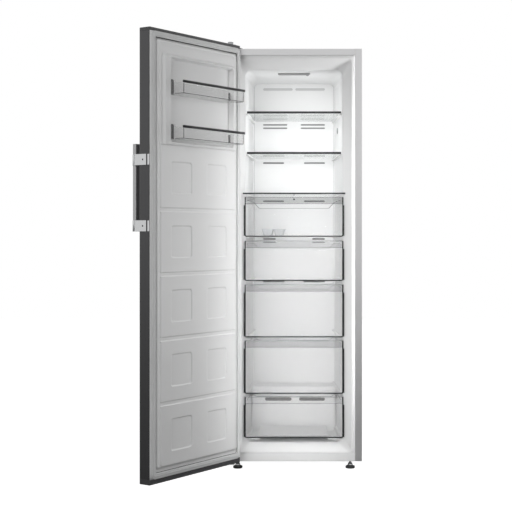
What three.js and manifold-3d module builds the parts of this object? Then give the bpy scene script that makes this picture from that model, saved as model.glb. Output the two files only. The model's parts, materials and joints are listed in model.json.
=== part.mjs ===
// Upright freezer with its door standing open: five clear drawers, three glass shelves and two door bins.
// Millimetres, +Z up. The origin is the centre of the cabinet's underside, +Y points to the back,
// and the front feet and rear rollers reach below it to the floor.
import * as THREE from 'three';
import { mergeVertices } from 'three/addons/utils/BufferGeometryUtils.js';
import Module from 'manifold-3d';

const wasm = await Module();
wasm.setup();

// ---------------------------------------------------------------- driving dimensions

const GAP = 0.3; // running gap between pieces that touch
const BITE = 1; // how far a cutter runs past the face it opens

// cabinet
const CAB_W = 595;
const CAB_H = 1805;
const CAB_D = 600;
const SHEET = 1; // steel sheet
const SIDE_FLANGE = 30; // the side panels' front flange
const TOP_FLANGE = 28; // the top panel's front flange
const REAR_FLANGE = 15;
const BEND = 2; // outer chamfer of a folded edge
const BASE_SHEET = 1.5;
const BASE_LIP = 12; // upstand along the base's rear edge
const BEAD_HW = 190; // pressed stiffening bead round the base's middle
const BEAD_FROM = 85; // depths of the bead's front and rear runs
const BEAD_TO = 360;
const BEAD_W = 12;
const BEAD_H = 3;
const RAIL_H = 38.7; // white rail under the opening
const RAIL_D = 14;
const RAIL_WALL = 2.5;

// inner liner
const LINER_T = 3;
const LIP = 16; // white lip between the steel flange and the chamfer
const CHAMFER_D = 40;
const WALL_INSET = 37.5; // how far the chamfer draws each side wall in
const CEILING_DROP = 45; // how far it draws the ceiling down
const FLOOR_RISE = 40; // and the floor up
const WALL_TAPER = 24; // draft of each side wall from the chamfer to the back
const CEILING_FALL = 8;
const LINER_BACK = 545; // from the front plane to the liner's rear wall
const CORNER_FRONT = 14;
const CORNER_WALL = 30;
const LEDGE_W = 12; // moulded runner ribs
const LEDGE_H = 8;
const LEDGE_START = 62;
const LEDGE_REAR_GAP = 12;
const FLOOR_RIB_H = 20;
const CORNER_STEPS = 4;

// machine niche and the step over it
const NICHE_H = 215;
const NICHE_D = 190;
const NICHE_SLOPE = 25;
const NICHE_FOAM = 45; // insulation between the niche and the liner's step

// air duct behind the compartments
const DUCT_Y = 475; // front face of the duct cover, from the front plane
const DUCT_SIDE_GAP = 4;
const DUCT_T = 2.5;
const SENSOR_Z = 1160; // temperature sensor's head on the duct cover, between two slots
const SENSOR_R = 5;
const SENSOR_D = 3.5;
const DUCT_TOP_GAP = 0.8;
const SLOT_OUTER = 147.5; // half-width over the air slots
const RETURN_STEP = 33; // the return cover stands this far in front of the step
const RETURN_RISE = 23; // and this far above it
const RETURN_SLOT_H = 15;
const RETURN_SLOT_DROP = 59; // slot centre below the return cover's top
const RETURN_SLOTS = [[-135, -11], [23, 144]];

// drawers, counted from the bottom: height of each front
const DRAWER_HEIGHTS = [182, 235, 233, 177, 175];
const DRAWER_PITCH_GAPS = [12, 13, 15, 17];
const DRAWER_LIFT = 19; // lowest front above the liner's floor
const DRAWER_FRONT_Y = 22;
const DRAWER_FRONT_T = 3;
const DRAWER_SIDE_OVERLAP = 3; // each front is this much wider than the wall behind it
const DRAWER_WALL = 2.4;
const DRAWER_SIDE_CLEAR = 7;
const DRAWER_REAR_GAP = 8;
const DRAWER_DRAFT = 3;
const DRAWER_RIM_DROP = 14;
const DRAWER_BACK_DROP = 26;
const BACK_SLOPE_FROM = 90; // the sides fall to the low back between these distances from it
const BACK_SLOPE_TO = 60;
const DRAWER_CORNER = 24;
const DRAWER_FLOOR_LIFT = 3;
const GRIP_H = 30; // grip strip along the top of each front
const GRIP_STEP = 5;
const FRONT_CORNER = 6;
const TAB_W = 57; // clear stop tabs under the lowest drawer
const TAB_H = 6;
const TAB_INSET = 15;

// ice tray in the top drawer
const TRAY_W = 112;
const TRAY_L = 190;
const TRAY_H = 29;
const TRAY_IN = 125; // its middle, in from the left end of the drawer front
const TRAY_Y = 90; // its near end, from the front plane
const TRAY_COLUMNS = 2;
const TRAY_ROWS = 4;
const TRAY_RIM = 5;
const TRAY_RIM_T = 2;
const TRAY_WALL = 1.5;
const TRAY_DRAFT = 7;

// shelves
const GLASS_T = 4;
const SHELF_ABOVE_DRAWER = 14; // underside of the wide shelf over the top drawer
const SHELF_TOP_CLEAR = 8; // the top bay is this much taller than the others
const NARROW_SHELF_Y = 42;
const WIDE_SHELF_Y = 17;
const SHELF_SIDE_CLEAR = 5;
const SHELF_REAR_GAP = 5;
const TRIM_D = 14;
const TRIM_H = 9;
const WIDE_TRIM_H = 6;
const WIDE_TRIM_D = 10;
const TRIM_WALL = 1.4;
const WIDE_TRIM_CLEAR = 7;

// lamp on the ceiling
const LAMP_W = 144;
const LAMP_D = 34;
const LAMP_H = 6;
const LAMP_Y = 124;

// door
const DOOR_T = 55;
const DOOR_STANDOFF = 10; // between the door's inner face and the cabinet's front plane
const DOOR_RISE = 5;
const DOOR_BEND = 5;
const DOOR_RETURN = 9;
const DOOR_OPEN_DEG = 124;
const HINGE_IN = 22.5; // hinge axis in from the cabinet's side
const HINGE_BACK = 21; // and behind the door's outer face
const CAP_TOP_H = 13;
const CAP_BOTTOM_H = 21;
const CAP_WALL = 2.5;
const DOOR_LINER_T = 2.5;
const DOOR_FACE_T = 5; // the plug's face, which the grooves and panels are sunk into
const GASKET_W = 23;
const GASKET_INSET = 4.5;
const GASKET_BASE_W = 13;
const GASKET_BASE_T = 4;
const GASKET_SHOULDER = 5.5; // height at which the cushion's outer side starts to slope
const GASKET_SLOPE = 12;
const PLUG_INSET = 42.5; // plug's foot, from the door's side
const PLUG_BEVEL = 12;
const PLUG_D = 14;
const PLUG_TOP_CLEAR = 7; // plug's foot to the cabinet's opening
const PLUG_BOTTOM_CLEAR = 22;
const PANEL_BAYS = 5;
const GROOVE_W = 16;
const GROOVE_DEPTH = 2;
const PANEL_W = 132;
const PANEL_H = 128;
const PANEL_X = 116;
const PANEL_DEPTH = 2.5;
const PANEL_CORNER = 15;
const FRAME_D = 27; // raised frame round the door bins
const FRAME_FOOT_IN = 5;
const FRAME_BEVEL = 11;
const RECESS_D = 3; // the frame's floor over the door's inner face
const RECESS_TOP_IN = 43; // frame's top edge to the recess
const FRAME_SILL = 13;
const SILL_BELOW_BIN = 10;

// door bins
const BIN_D = 96; // rail's front over the door's inner face
const BIN_CLEAR = 2;
const BIN_WALL = 2.5;
const BIN_OVER_SHELF = 22;
const BIN_H = 43;
const BIN_BACK_H = 56;
const BIN_CORNER = 16;
const RAIL_BAR_T = 7;
const RAIL_BAR_H = 8;
const BRACKET_W = 24; // hook at each end of a bin
const HOOK_T = 1.7;

// handle
const HANDLE_Z = 1004;
const HANDLE_L = 349;
const HANDLE_W = 25;
const HANDLE_T = 12;
const HANDLE_IN = 18; // bar in from the door's free edge
const HANDLE_OUT = 38; // clear space between the door and the bar
const HANDLE_EDGE = 3;
const ARM_H = 44;
const ARM_T = 3;
const ARM_ON_SIDE = 39; // how much of the door's side the arm covers
const ARM_KINK = 17;
const UPPER_ARM_DROP = 43;

// hinges
const PIN_R = 7;
const PIN_CLEAR = 0.45;
const BUSH_R = 12;
const HINGE_T = 3;
const HINGE_W = 44;
const HINGE_RUN = 85;
const HINGE_HEAD_H = 12;
const HINGE_NOSE = 14;
const HINGE_OVER_DOOR = 1.2;
const COVER_T = 1.6;
const COVER_H = 14;
const COVER_W = 76;
const COVER_SLOPE = 43;
const COVER_RUN = 92;
const LOWER_LEG_W = 34;
const LOWER_RUN = 60;

// feet and rollers
const STAND_H = 36; // from the floor to the cabinet's underside
const FOOT_R = 21;
const FOOT_PAD_H = 9;
const FOOT_IN = 50; // foot centre from the cabinet's side
const FOOT_BACK = 38;
const STEM_R = 5;
const STEM_UP = 14;
const STEM_CLEAR = 0.4;
const BOSS_WALL = 3.2;
const ROLLER_R = 15;
const ROLLER_W = 18;
const ROLLER_IN = 57;
const ROLLER_FROM_BACK = 40;
const AXLE_R = 3;
const AXLE_CLEAR = 0.4;
const EAR_T = 2;
const EAR_CLEAR = 1;
const EAR_W = 24;

// machine parts
const COMP_R = 62;
const COMP_STRETCH = 1.22;
const COMP_H = 148;
const COMP_X = 70;
const COMP_FOOT_H = 12;
const COMP_PLATE_T = 3;
const COMP_PLATE_W = 210;
const COMP_PLATE_D = 120;
const GROMMET_R = 11;
const DRIP_H = 28;
const DRIP_W = 168;
const DRIP_D = 116;
const DRIP_WALL = 2;
const PIPE_R = 3.2;
const PIPE_STEPS = 14;
const DISCHARGE_OUT = 62; // the discharge pipe's run out of the pot, its way to the back and its rise
const DISCHARGE_BACK = 52;
const DISCHARGE_RISE = 30;
const SUCTION_DROP = 24; // of the suction pipe's stub under the discharge pipe's
const SUCTION_OUT = 40; // straight run out of the pot, then the two turns of the suction pipe
const SUCTION_TURN = 96;
const SUCTION_REACH = 104;
const SUCTION_SIDE = 48;
const LOUVRES = 9;
const LOUVRE_GLAND_IN = 96; // louvred field, in from the cover's gland end and from its other end
const LOUVRE_END_IN = 24;
const LOUVRE_W = 9;
const LOUVRE_H = 62;
const GLAND_R = 11;
const GLAND_IN = 65.5; // gland's centre, in from the cabinet's side
const GLAND_Z = 62;
const CORD_R = 3.6;

// evaporator and fan
const EVAP_Z = 320;
const EVAP_H = 220;
const EVAP_IN = 22; // fin block in from the end plates
const FIN_COUNT = 7;
const FIN_T = 0.8;
const TUBE_R = 4;
const TUBE_ROWS = 4;
const FAN_ABOVE = 110; // fan centre above the coil's top
const FAN_R = 52;
const FAN_BLADES = 5;
const FAN_HUB_R = 17;
const FAN_TIP_CLEAR = 5;
const MOTOR_R = 20;
const MOTOR_D = 20;
const SHAFT_R = 2.5;

const ROUND = 16; // sides of a turned piece
const SMALL_ROUND = 12;

// ---------------------------------------------------------------- places worked out from them

const FRONT = -CAB_D / 2;
const BACK = CAB_D / 2;
const SIDE = CAB_W / 2;
const at = (depth) => FRONT + depth; // y of a depth measured from the front plane

const OPEN_HW = SIDE - SIDE_FLANGE - LIP;
const OPEN_TOP = CAB_H - TOP_FLANGE - LIP;
const OPEN_BOTTOM = RAIL_H + GAP;
const WALL_HW = OPEN_HW - WALL_INSET;
const CEILING = OPEN_TOP - CEILING_DROP;
const FLOOR = OPEN_BOTTOM + FLOOR_RISE;
const wallAt = (depth) => WALL_HW - (WALL_TAPER * (depth - CHAMFER_D)) / (LINER_BACK - CHAMFER_D);
const ceilingAt = (depth) => CEILING - (CEILING_FALL * (depth - CHAMFER_D)) / (LINER_BACK - CHAMFER_D);

const NICHE_Y = BACK - NICHE_D;
const STEP_Y = NICHE_Y - NICHE_FOAM; // front face of the step, inside the liner
const STEP_TOP = NICHE_H + NICHE_FOAM + LINER_T;
const DUCT_HW = wallAt(DUCT_Y) - DUCT_SIDE_GAP;
const RETURN_Y = STEP_Y - RETURN_STEP;
const RETURN_TOP = STEP_TOP + RETURN_RISE;

const drawers = [];
let under = FLOOR + DRAWER_LIFT;
DRAWER_HEIGHTS.forEach((height, i) => {
  drawers.push({ bottom: under, top: under + height, back: i === 0 ? RETURN_Y : at(DUCT_Y) });
  under += height + (DRAWER_PITCH_GAPS[i] ?? 0);
});
drawers.reverse(); // drawer 1 is the top one
const DRAWER_HW = WALL_HW + DRAWER_SIDE_OVERLAP;
const TRAY_X = -DRAWER_HW + TRAY_IN;

const WIDE_SHELF = drawers[0].top + SHELF_ABOVE_DRAWER; // underside of each glass
const SHELF_PITCH = (CEILING - SHELF_TOP_CLEAR - WIDE_SHELF) / 3;
const MIDDLE_SHELF = WIDE_SHELF + SHELF_PITCH;
const UPPER_SHELF = WIDE_SHELF + 2 * SHELF_PITCH;

const TOP_SLOT_DROP = 25; // of the uppermost air slots under the ceiling
// air slots: height of the row, half-width of the land between its two slots, slot height
const SLOT_ROWS = [
  [ceilingAt(DUCT_Y) - TOP_SLOT_DROP, 6, 12],
  [UPPER_SHELF - 14, 32, 7],
  [UPPER_SHELF - 30, 32, 7],
  [MIDDLE_SHELF - 17, 47.5, 8],
  [WIDE_SHELF - 20, 47.5, 8],
  [drawers[1].top + 6, 87, 8],
  [drawers[1].top - 10, 87, 6],
  [drawers[2].top - 5, 45, 7],
];

const DOOR_INNER = FRONT - DOOR_STANDOFF; // y of the door's inner face when shut
const DOOR_OUTER = DOOR_INNER - DOOR_T;
const DOOR_BOTTOM = DOOR_RISE;
const DOOR_TOP = DOOR_RISE + CAB_H;
const SKIN_BOTTOM = DOOR_BOTTOM + CAP_BOTTOM_H;
const SKIN_TOP = DOOR_TOP - CAP_TOP_H;
const HINGE_X = -SIDE + HINGE_IN;
const HINGE_Y = DOOR_OUTER + HINGE_BACK;
const doorAt = (d) => DOOR_INNER + d; // y of a point d proud of the shut door's inner face
const PLUG_HW = SIDE - PLUG_INSET;
const PLUG_BOTTOM = OPEN_BOTTOM + PLUG_BOTTOM_CLEAR;
const PLUG_TOP = OPEN_TOP - PLUG_TOP_CLEAR + DOOR_RISE - 2;
const FRAME_HW = PLUG_HW - PLUG_BEVEL - FRAME_FOOT_IN;
const BIN_LOW = MIDDLE_SHELF + BIN_OVER_SHELF;
const BIN_HIGH = UPPER_SHELF + BIN_OVER_SHELF;
const RECESS_HW = wallAt(BIN_D) - 6;
const RECESS_BOTTOM = BIN_LOW - SILL_BELOW_BIN;
const FRAME_BOTTOM = RECESS_BOTTOM - FRAME_SILL;
const FRAME_TOP = PLUG_TOP - PLUG_BEVEL - FRAME_FOOT_IN;
const RECESS_TOP = FRAME_TOP - RECESS_TOP_IN;

// ---------------------------------------------------------------- shaping

const manifoldOf = (geometry) => {
  const bare = geometry.clone();
  bare.deleteAttribute('normal');
  bare.deleteAttribute('uv');
  const merged = mergeVertices(bare, 1e-4);
  return new wasm.Manifold(new wasm.Mesh({
    numProp: 3,
    vertProperties: new Float32Array(merged.attributes.position.array),
    triVerts: new Uint32Array(merged.index.array),
  }));
};

const geometryOf = (solid) => {
  const mesh = solid.getMesh();
  const geometry = new THREE.BufferGeometry();
  geometry.setAttribute('position', new THREE.BufferAttribute(mesh.vertProperties, 3));
  geometry.setIndex(new THREE.BufferAttribute(mesh.triVerts, 1));
  geometry.computeVertexNormals();
  return geometry;
};

// a plain block between two corners
const block = ([x0, x1], [y0, y1], [z0, z1]) =>
  manifoldOf(new THREE.BoxGeometry(x1 - x0, y1 - y0, z1 - z0)
    .translate((x0 + x1) / 2, (y0 + y1) / 2, (z0 + z1) / 2));

const shapeOf = (points) => new THREE.Shape(points.map(([a, b]) => new THREE.Vector2(a, b)));

const extruded = (points, depth, ...basis) => {
  const geometry = new THREE.ExtrudeGeometry(shapeOf(points), { depth, bevelEnabled: false });
  return geometry.applyMatrix4(new THREE.Matrix4().makeBasis(...basis.map((v) => new THREE.Vector3(...v))));
};

// an outline carried along one axis
const alongX = (yz, x0, x1) =>
  manifoldOf(extruded(yz, x1 - x0, [0, 1, 0], [0, 0, 1], [1, 0, 0]).translate(x0, 0, 0));
const alongY = (xz, y0, y1) =>
  manifoldOf(extruded(xz, y1 - y0, [1, 0, 0], [0, 0, 1], [0, -1, 0]).translate(0, y1, 0));
const alongZ = (xy, z0, z1) =>
  manifoldOf(extruded(xy, z1 - z0, [1, 0, 0], [0, 1, 0], [0, 0, 1]).translate(0, 0, z0));

// an outline whose corners become arcs; each radius may differ
const rounded = (points, radius, steps = CORNER_STEPS) => points.flatMap((p, i) => {
  const r = Array.isArray(radius) ? radius[i] : radius;
  if (r <= 0) return [p];
  const corner = new THREE.Vector2(...p);
  const before = new THREE.Vector2(...points.at(i - 1)).sub(corner).normalize();
  const after = new THREE.Vector2(...points[(i + 1) % points.length]).sub(corner).normalize();
  const half = Math.acos(THREE.MathUtils.clamp(before.dot(after), -1, 1)) / 2;
  const run = r / Math.tan(half);
  const centre = before.clone().add(after).normalize().multiplyScalar(r / Math.sin(half)).add(corner);
  const first = before.multiplyScalar(run).add(corner).sub(centre);
  const last = after.multiplyScalar(run).add(corner).sub(centre);
  const sweep = Math.atan2(first.cross(last), first.dot(last));
  return Array.from({ length: steps + 1 }, (_, k) => {
    const turned = first.clone().rotateAround(new THREE.Vector2(), (sweep * k) / steps).add(centre);
    return [turned.x, turned.y];
  });
});

const rectangle = (x0, x1, y0, y1) => [[x0, y0], [x1, y0], [x1, y1], [x0, y1]];
const roundedBox = (x0, x1, y0, y1, r, steps) => rounded(rectangle(x0, x1, y0, y1), r, steps);

// a slot with round ends, centred at (x, y)
const slot = (x0, x1, y, height, steps = 2) => roundedBox(x0, x1, y - height / 2, y + height / 2,
  Math.min(height, x1 - x0) / 2 - 0.01, steps);

// a closed skin through rings of equally many points, with flat ends
const loft = (rings) => {
  const count = rings[0].length;
  const positions = rings.flat(2);
  const faces = [];
  for (let ring = 0; ring + 1 < rings.length; ring += 1) {
    for (let i = 0; i < count; i += 1) {
      const a = ring * count + i;
      const b = ring * count + ((i + 1) % count);
      faces.push(a, b, b + count, a, b + count, a + count);
    }
  }
  const last = (rings.length - 1) * count;
  for (let i = 1; i + 1 < count; i += 1) {
    faces.push(0, i + 1, i, last, last + i, last + i + 1);
  }
  const geometry = new THREE.BufferGeometry();
  geometry.setAttribute('position', new THREE.Float32BufferAttribute(positions, 3));
  geometry.setIndex(signedVolume(positions, faces) < 0 ? faces.slice().reverse() : faces);
  return manifoldOf(geometry);
};

const signedVolume = (positions, faces) => {
  const point = (i) => new THREE.Vector3().fromArray(positions, 3 * i);
  let volume = 0;
  for (let i = 0; i < faces.length; i += 3) {
    volume += point(faces[i]).dot(point(faces[i + 1]).cross(point(faces[i + 2])));
  }
  return volume;
};

// lofts through upright sections facing the front, and through flat sections
const loftY = (sections) => loft(sections.map(({ y, hw, z0, z1, r }) =>
  roundedBox(-hw, hw, z0, z1, r).map(([x, z]) => [x, y, z])));
const loftZ = (sections) => loft(sections.map(({ z, outline }) => outline.map(([x, y]) => [x, y, z])));

// a turned piece about a line through (x, y, z); profile points are (radius, height)
const turned = (profile, sides, [x, y, z], axis = 'z') => {
  const geometry = new THREE.LatheGeometry(profile.map(([r, h]) => new THREE.Vector2(r, h)), sides);
  if (axis === 'z') geometry.rotateX(Math.PI / 2);
  if (axis === 'x') geometry.rotateZ(-Math.PI / 2);
  return manifoldOf(geometry.translate(x, y, z));
};
const pin = (r, h0, h1, sides, place, axis) => turned([[0, h0], [r, h0], [r, h1], [0, h1]], sides, place, axis);

// a round tube along a smooth line through points
const tube = (points, r, steps) => {
  const path = new THREE.CatmullRomCurve3(points.map((p) => new THREE.Vector3(...p)), false, 'centripetal');
  const ring = Array.from({ length: 8 }, (_, i) => [r * Math.cos((i * Math.PI) / 4), r * Math.sin((i * Math.PI) / 4)]);
  return manifoldOf(new THREE.ExtrudeGeometry(shapeOf(ring), { steps, extrudePath: path, bevelEnabled: false }));
};

const join = (first, ...rest) => rest.reduce((whole, piece) => whole.add(piece), first);
const cut = (body, ...tools) => tools.reduce((rest, tool) => rest.subtract(tool), body);

// ---------------------------------------------------------------- materials and nodes

const material = (color, roughness, metalness, opacity = 1) => new THREE.MeshStandardMaterial({
  color, roughness, metalness, opacity, transparent: opacity < 1,
});
const finish = {
  steel: material(0x9a9b9b, 0.4, 0.7),
  galvanised: material(0xa8acae, 0.5, 0.7),
  white: material(0xf2f3f2, 0.35, 0),
  foam: material(0xe6dcb0, 0.9, 0),
  cap: material(0x55565a, 0.5, 0),
  gasket: material(0xdedfde, 0.6, 0),
  clear: material(0xeef2f3, 0.1, 0, 0.35),
  glass: material(0xe4efed, 0.05, 0, 0.35),
  trim: material(0x3b3c3e, 0.4, 0),
  chrome: material(0xc6c8ca, 0.25, 0.9),
  handle: material(0x7e8083, 0.35, 0.7),
  black: material(0x1c1c1e, 0.5, 0.1),
  copper: material(0xb06a43, 0.35, 0.9),
  aluminium: material(0xc3c7c9, 0.4, 0.8),
  foot: material(0x2b2b2d, 0.6, 0),
};

const freezer = new THREE.Group();
const cabinet = new THREE.Group();
const door = new THREE.Group();
const shutDoor = new THREE.Group(); // the door's pieces, drawn in the shut pose
door.position.set(HINGE_X, HINGE_Y, 0);
door.rotation.z = THREE.MathUtils.degToRad(-DOOR_OPEN_DEG);
shutDoor.position.set(-HINGE_X, -HINGE_Y, 0);
door.add(shutDoor);
freezer.add(cabinet, door);

const node = (parent, name, solid, look) => {
  const mesh = new THREE.Mesh(geometryOf(solid), look);
  mesh.name = name;
  parent.add(mesh);
};

// ---------------------------------------------------------------- outer casing

// a folded side sheet: web, front flange and rear flange in one section
const sidePanel = (sign) => {
  const section = [
    [SIDE - SIDE_FLANGE, FRONT],
    [SIDE - BEND, FRONT],
    [SIDE, FRONT + BEND],
    [SIDE, BACK - BEND],
    [SIDE - BEND, BACK],
    [SIDE - REAR_FLANGE, BACK],
    [SIDE - REAR_FLANGE, BACK - SHEET],
    [SIDE - BEND, BACK - SHEET],
    [SIDE - SHEET, BACK - BEND],
    [SIDE - SHEET, FRONT + BEND],
    [SIDE - BEND, FRONT + SHEET],
    [SIDE - SIDE_FLANGE, FRONT + SHEET],
  ];
  return alongZ(section.map(([x, y]) => [sign * x, y]), 0, CAB_H);
};

const INSIDE_HW = SIDE - SHEET - BEND / 2 - GAP; // clear half-width inside the side panels

const topPanel = () => join(
  block([-INSIDE_HW, INSIDE_HW], [FRONT + SHEET + BEND, BACK - SHEET - BEND], [CAB_H - SHEET, CAB_H]),
  alongX([
    [FRONT, CAB_H - TOP_FLANGE],
    [FRONT + SHEET, CAB_H - TOP_FLANGE],
    [FRONT + SHEET, CAB_H - BEND],
    [FRONT + BEND, CAB_H - SHEET],
    [FRONT + SHEET + BEND + BITE, CAB_H - SHEET],
    [FRONT + SHEET + BEND + BITE, CAB_H],
    [FRONT + BEND, CAB_H],
    [FRONT, CAB_H - BEND],
  ], -SIDE + SIDE_FLANGE + GAP, SIDE - SIDE_FLANGE - GAP),
);

const backPanel = () => {
  const hw = SIDE - REAR_FLANGE - GAP;
  const topLip = BACK - SHEET - BEND + GAP;
  return alongX([
    [BACK - REAR_FLANGE, NICHE_H],
    [BACK, NICHE_H],
    [BACK, CAB_H],
    [topLip, CAB_H],
    [topLip, CAB_H - SHEET],
    [BACK - SHEET, CAB_H - SHEET],
    [BACK - SHEET, NICHE_H + SHEET],
    [BACK - REAR_FLANGE, NICHE_H + SHEET],
  ], -hw, hw);
};

const footPlaces = [-1, 1].map((side) => [side * (SIDE - FOOT_IN), at(FOOT_BACK)]);
const BOSS_R = STEM_R + STEM_CLEAR + BOSS_WALL;
const BOSS_TOP = STEM_UP + BOSS_WALL;

const footBoss = ([x, y], grow = 0) => pin(BOSS_R + grow, 0, BOSS_TOP + grow, SMALL_ROUND, [x, y, 0]);
const stemBore = ([x, y]) => pin(STEM_R + STEM_CLEAR, -BITE, STEM_UP + STEM_CLEAR, ROUND, [x, y, 0]);

// a rectangular ring on the base, grown on both of its sides
const beadRing = (grow, z0, z1) => cut(
  block([-BEAD_HW - grow, BEAD_HW + grow], [at(BEAD_FROM) - grow, at(BEAD_TO) + grow], [z0, z1]),
  block(
    [-BEAD_HW + BEAD_W + grow, BEAD_HW - BEAD_W - grow],
    [at(BEAD_FROM + BEAD_W) + grow, at(BEAD_TO - BEAD_W) - grow], [z0 - BITE, z1 + BITE],
  ),
);

// the base: a sheet with an upstand behind, a pressed bead, and a threaded boss over each front foot
const basePlate = () => {
  const plate = alongX([
    [at(RAIL_D) + GAP, 0],
    [BACK - SHEET - BEND, 0],
    [BACK - SHEET - BEND, BASE_LIP],
    [BACK - SHEET - BEND - BASE_SHEET, BASE_LIP],
    [BACK - SHEET - BEND - BASE_SHEET, BASE_SHEET],
    [at(RAIL_D) + GAP, BASE_SHEET],
  ], -INSIDE_HW, INSIDE_HW);
  const bead = beadRing(BASE_SHEET, BASE_SHEET / 2, BASE_SHEET + BEAD_H);
  return cut(
    join(plate, bead, ...footPlaces.map((p) => footBoss(p))),
    beadRing(0, -BITE, BEAD_H),
    ...footPlaces.map(stemBore),
  );
};

// the white rail under the opening, a channel open to the back
const bottomRail = () => {
  const hw = SIDE - SIDE_FLANGE - GAP;
  return alongX([
    [FRONT, BEND],
    [FRONT + BEND, 0],
    [at(RAIL_D), 0],
    [at(RAIL_D), RAIL_WALL],
    [at(RAIL_WALL), RAIL_WALL],
    [at(RAIL_WALL), RAIL_H - RAIL_WALL],
    [at(RAIL_D), RAIL_H - RAIL_WALL],
    [at(RAIL_D), RAIL_H],
    [FRONT + BEND, RAIL_H],
    [FRONT, RAIL_H - BEND],
  ], -hw, hw);
};

// ---------------------------------------------------------------- liner, niche and insulation

// the compartment's space, grown all round by t: a chamfered mouth, then walls with draft
const compartment = (t, frontY) => {
  const mouth = { hw: OPEN_HW + t, z0: OPEN_BOTTOM - t, z1: OPEN_TOP + t, r: CORNER_FRONT + t };
  return loftY([
    { ...mouth, y: frontY },
    { ...mouth, y: FRONT + 0.01 + Math.max(t, 0) * 0.4 },
    { y: at(CHAMFER_D), hw: WALL_HW + t, z0: FLOOR - t, z1: CEILING + t, r: CORNER_WALL + t },
    {
      y: at(LINER_BACK) + t, hw: wallAt(LINER_BACK) + t, z0: FLOOR - t,
      z1: ceilingAt(LINER_BACK) + t, r: CORNER_WALL + t,
    },
  ]);
};

const stepBlock = (t) => block([-SIDE, SIDE], [STEP_Y + t, BACK], [0, STEP_TOP - t]);

// a runner rib along each side wall; its face stands LEDGE_W proud of the tapering wall
const ledges = (topZ, height, fromDepth, toY) => [-1, 1].map((side) => {
  const toDepth = toY - FRONT;
  const outline = [
    [side * (wallAt(fromDepth) - LEDGE_W), at(fromDepth)],
    [side * (wallAt(toDepth) - LEDGE_W), toY],
    [side * (wallAt(toDepth) + BITE), toY],
    [side * (wallAt(fromDepth) + BITE), at(fromDepth)],
  ];
  return alongZ(outline, topZ - height, topZ);
});

const innerLiner = () => {
  const shell = cut(
    compartment(LINER_T, FRONT),
    stepBlock(LINER_T),
    cut(compartment(0, FRONT - BITE), stepBlock(0)),
    block([-SIDE, SIDE], [FRONT - BITE, at(RAIL_D) + GAP], [0, RAIL_H + GAP]),
  );
  const rimHw = SIDE - SIDE_FLANGE - GAP;
  const rim = cut(
    block([-rimHw, rimHw], [FRONT, at(LINER_T)], [RAIL_H + GAP, CAB_H - TOP_FLANGE - GAP]),
    compartment(0, FRONT - BITE),
  );
  const drawerRibs = drawers.flatMap(({ bottom, back }, i) => (i === drawers.length - 1
    ? ledges(bottom + DRAWER_FLOOR_LIFT - GAP, FLOOR_RIB_H + DRAWER_FLOOR_LIFT, LEDGE_START, back - GAP - BITE)
    : ledges(bottom + DRAWER_FLOOR_LIFT - GAP, LEDGE_H, LEDGE_START, back - LEDGE_REAR_GAP)));
  const shelfRibs = [WIDE_SHELF, MIDDLE_SHELF, UPPER_SHELF].flatMap((z) =>
    ledges(z - GAP, LEDGE_H, LEDGE_START, at(DUCT_Y) - LEDGE_REAR_GAP));
  const ribs = join(...drawerRibs, ...shelfRibs).intersect(compartment(BITE, FRONT));
  return join(shell, rim, ribs);
};

// a sheet folded over the machine niche
const nicheOutline = (t) => [
  [NICHE_Y + t, BASE_SHEET + GAP],
  [NICHE_Y + t, NICHE_H - NICHE_SLOPE - t / 2],
  [NICHE_Y + NICHE_SLOPE + t / 2, NICHE_H - t],
  [BACK - REAR_FLANGE - GAP, NICHE_H - t],
];
const nichePlate = () => alongX([...nicheOutline(0), ...nicheOutline(SHEET).reverse()], -INSIDE_HW, INSIDE_HW);

const insulation = () => cut(
  block(
    [-INSIDE_HW, INSIDE_HW],
    [FRONT + SHEET + BEND, BACK - SHEET - BEND],
    [BASE_SHEET + GAP, CAB_H - SHEET - GAP],
  ),
  cut(compartment(LINER_T + GAP, FRONT - BITE), stepBlock(LINER_T + GAP)),
  block([-SIDE, SIDE], [FRONT, at(LINER_T) + GAP], [0, CAB_H]),
  block([-SIDE, SIDE], [FRONT, at(RAIL_D) + GAP], [0, RAIL_H + GAP]),
  alongX([
    [NICHE_Y - GAP, 0],
    [NICHE_Y - GAP, NICHE_H - NICHE_SLOPE],
    [NICHE_Y + NICHE_SLOPE, NICHE_H + GAP],
    [BACK - REAR_FLANGE - 2 * GAP, NICHE_H + GAP],
    [BACK - REAR_FLANGE - 2 * GAP, NICHE_H + SHEET + GAP],
    [BACK, NICHE_H + SHEET + GAP],
    [BACK, 0],
  ], -SIDE, SIDE),
  beadRing(BASE_SHEET + GAP, 0, BASE_SHEET + BEAD_H + GAP),
  ...footPlaces.map((p) => footBoss(p, GAP)),
);

node(cabinet, 'side_panel_left', sidePanel(-1), finish.steel);
node(cabinet, 'side_panel_right', sidePanel(1), finish.steel);
node(cabinet, 'top_panel', topPanel(), finish.steel);
node(cabinet, 'back_panel', backPanel(), finish.galvanised);
node(cabinet, 'base_plate', basePlate(), finish.galvanised);
node(cabinet, 'bottom_rail', bottomRail(), finish.white);
node(cabinet, 'inner_liner', innerLiner(), finish.white);
node(cabinet, 'niche_plate', nichePlate(), finish.galvanised);
node(cabinet, 'insulation_foam', insulation(), finish.foam);

// ---------------------------------------------------------------- machine niche

const COMP_Y = NICHE_Y + NICHE_D / 2 + 4;
const PLATE_Z = BASE_SHEET + GAP + COMP_FOOT_H;

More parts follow.
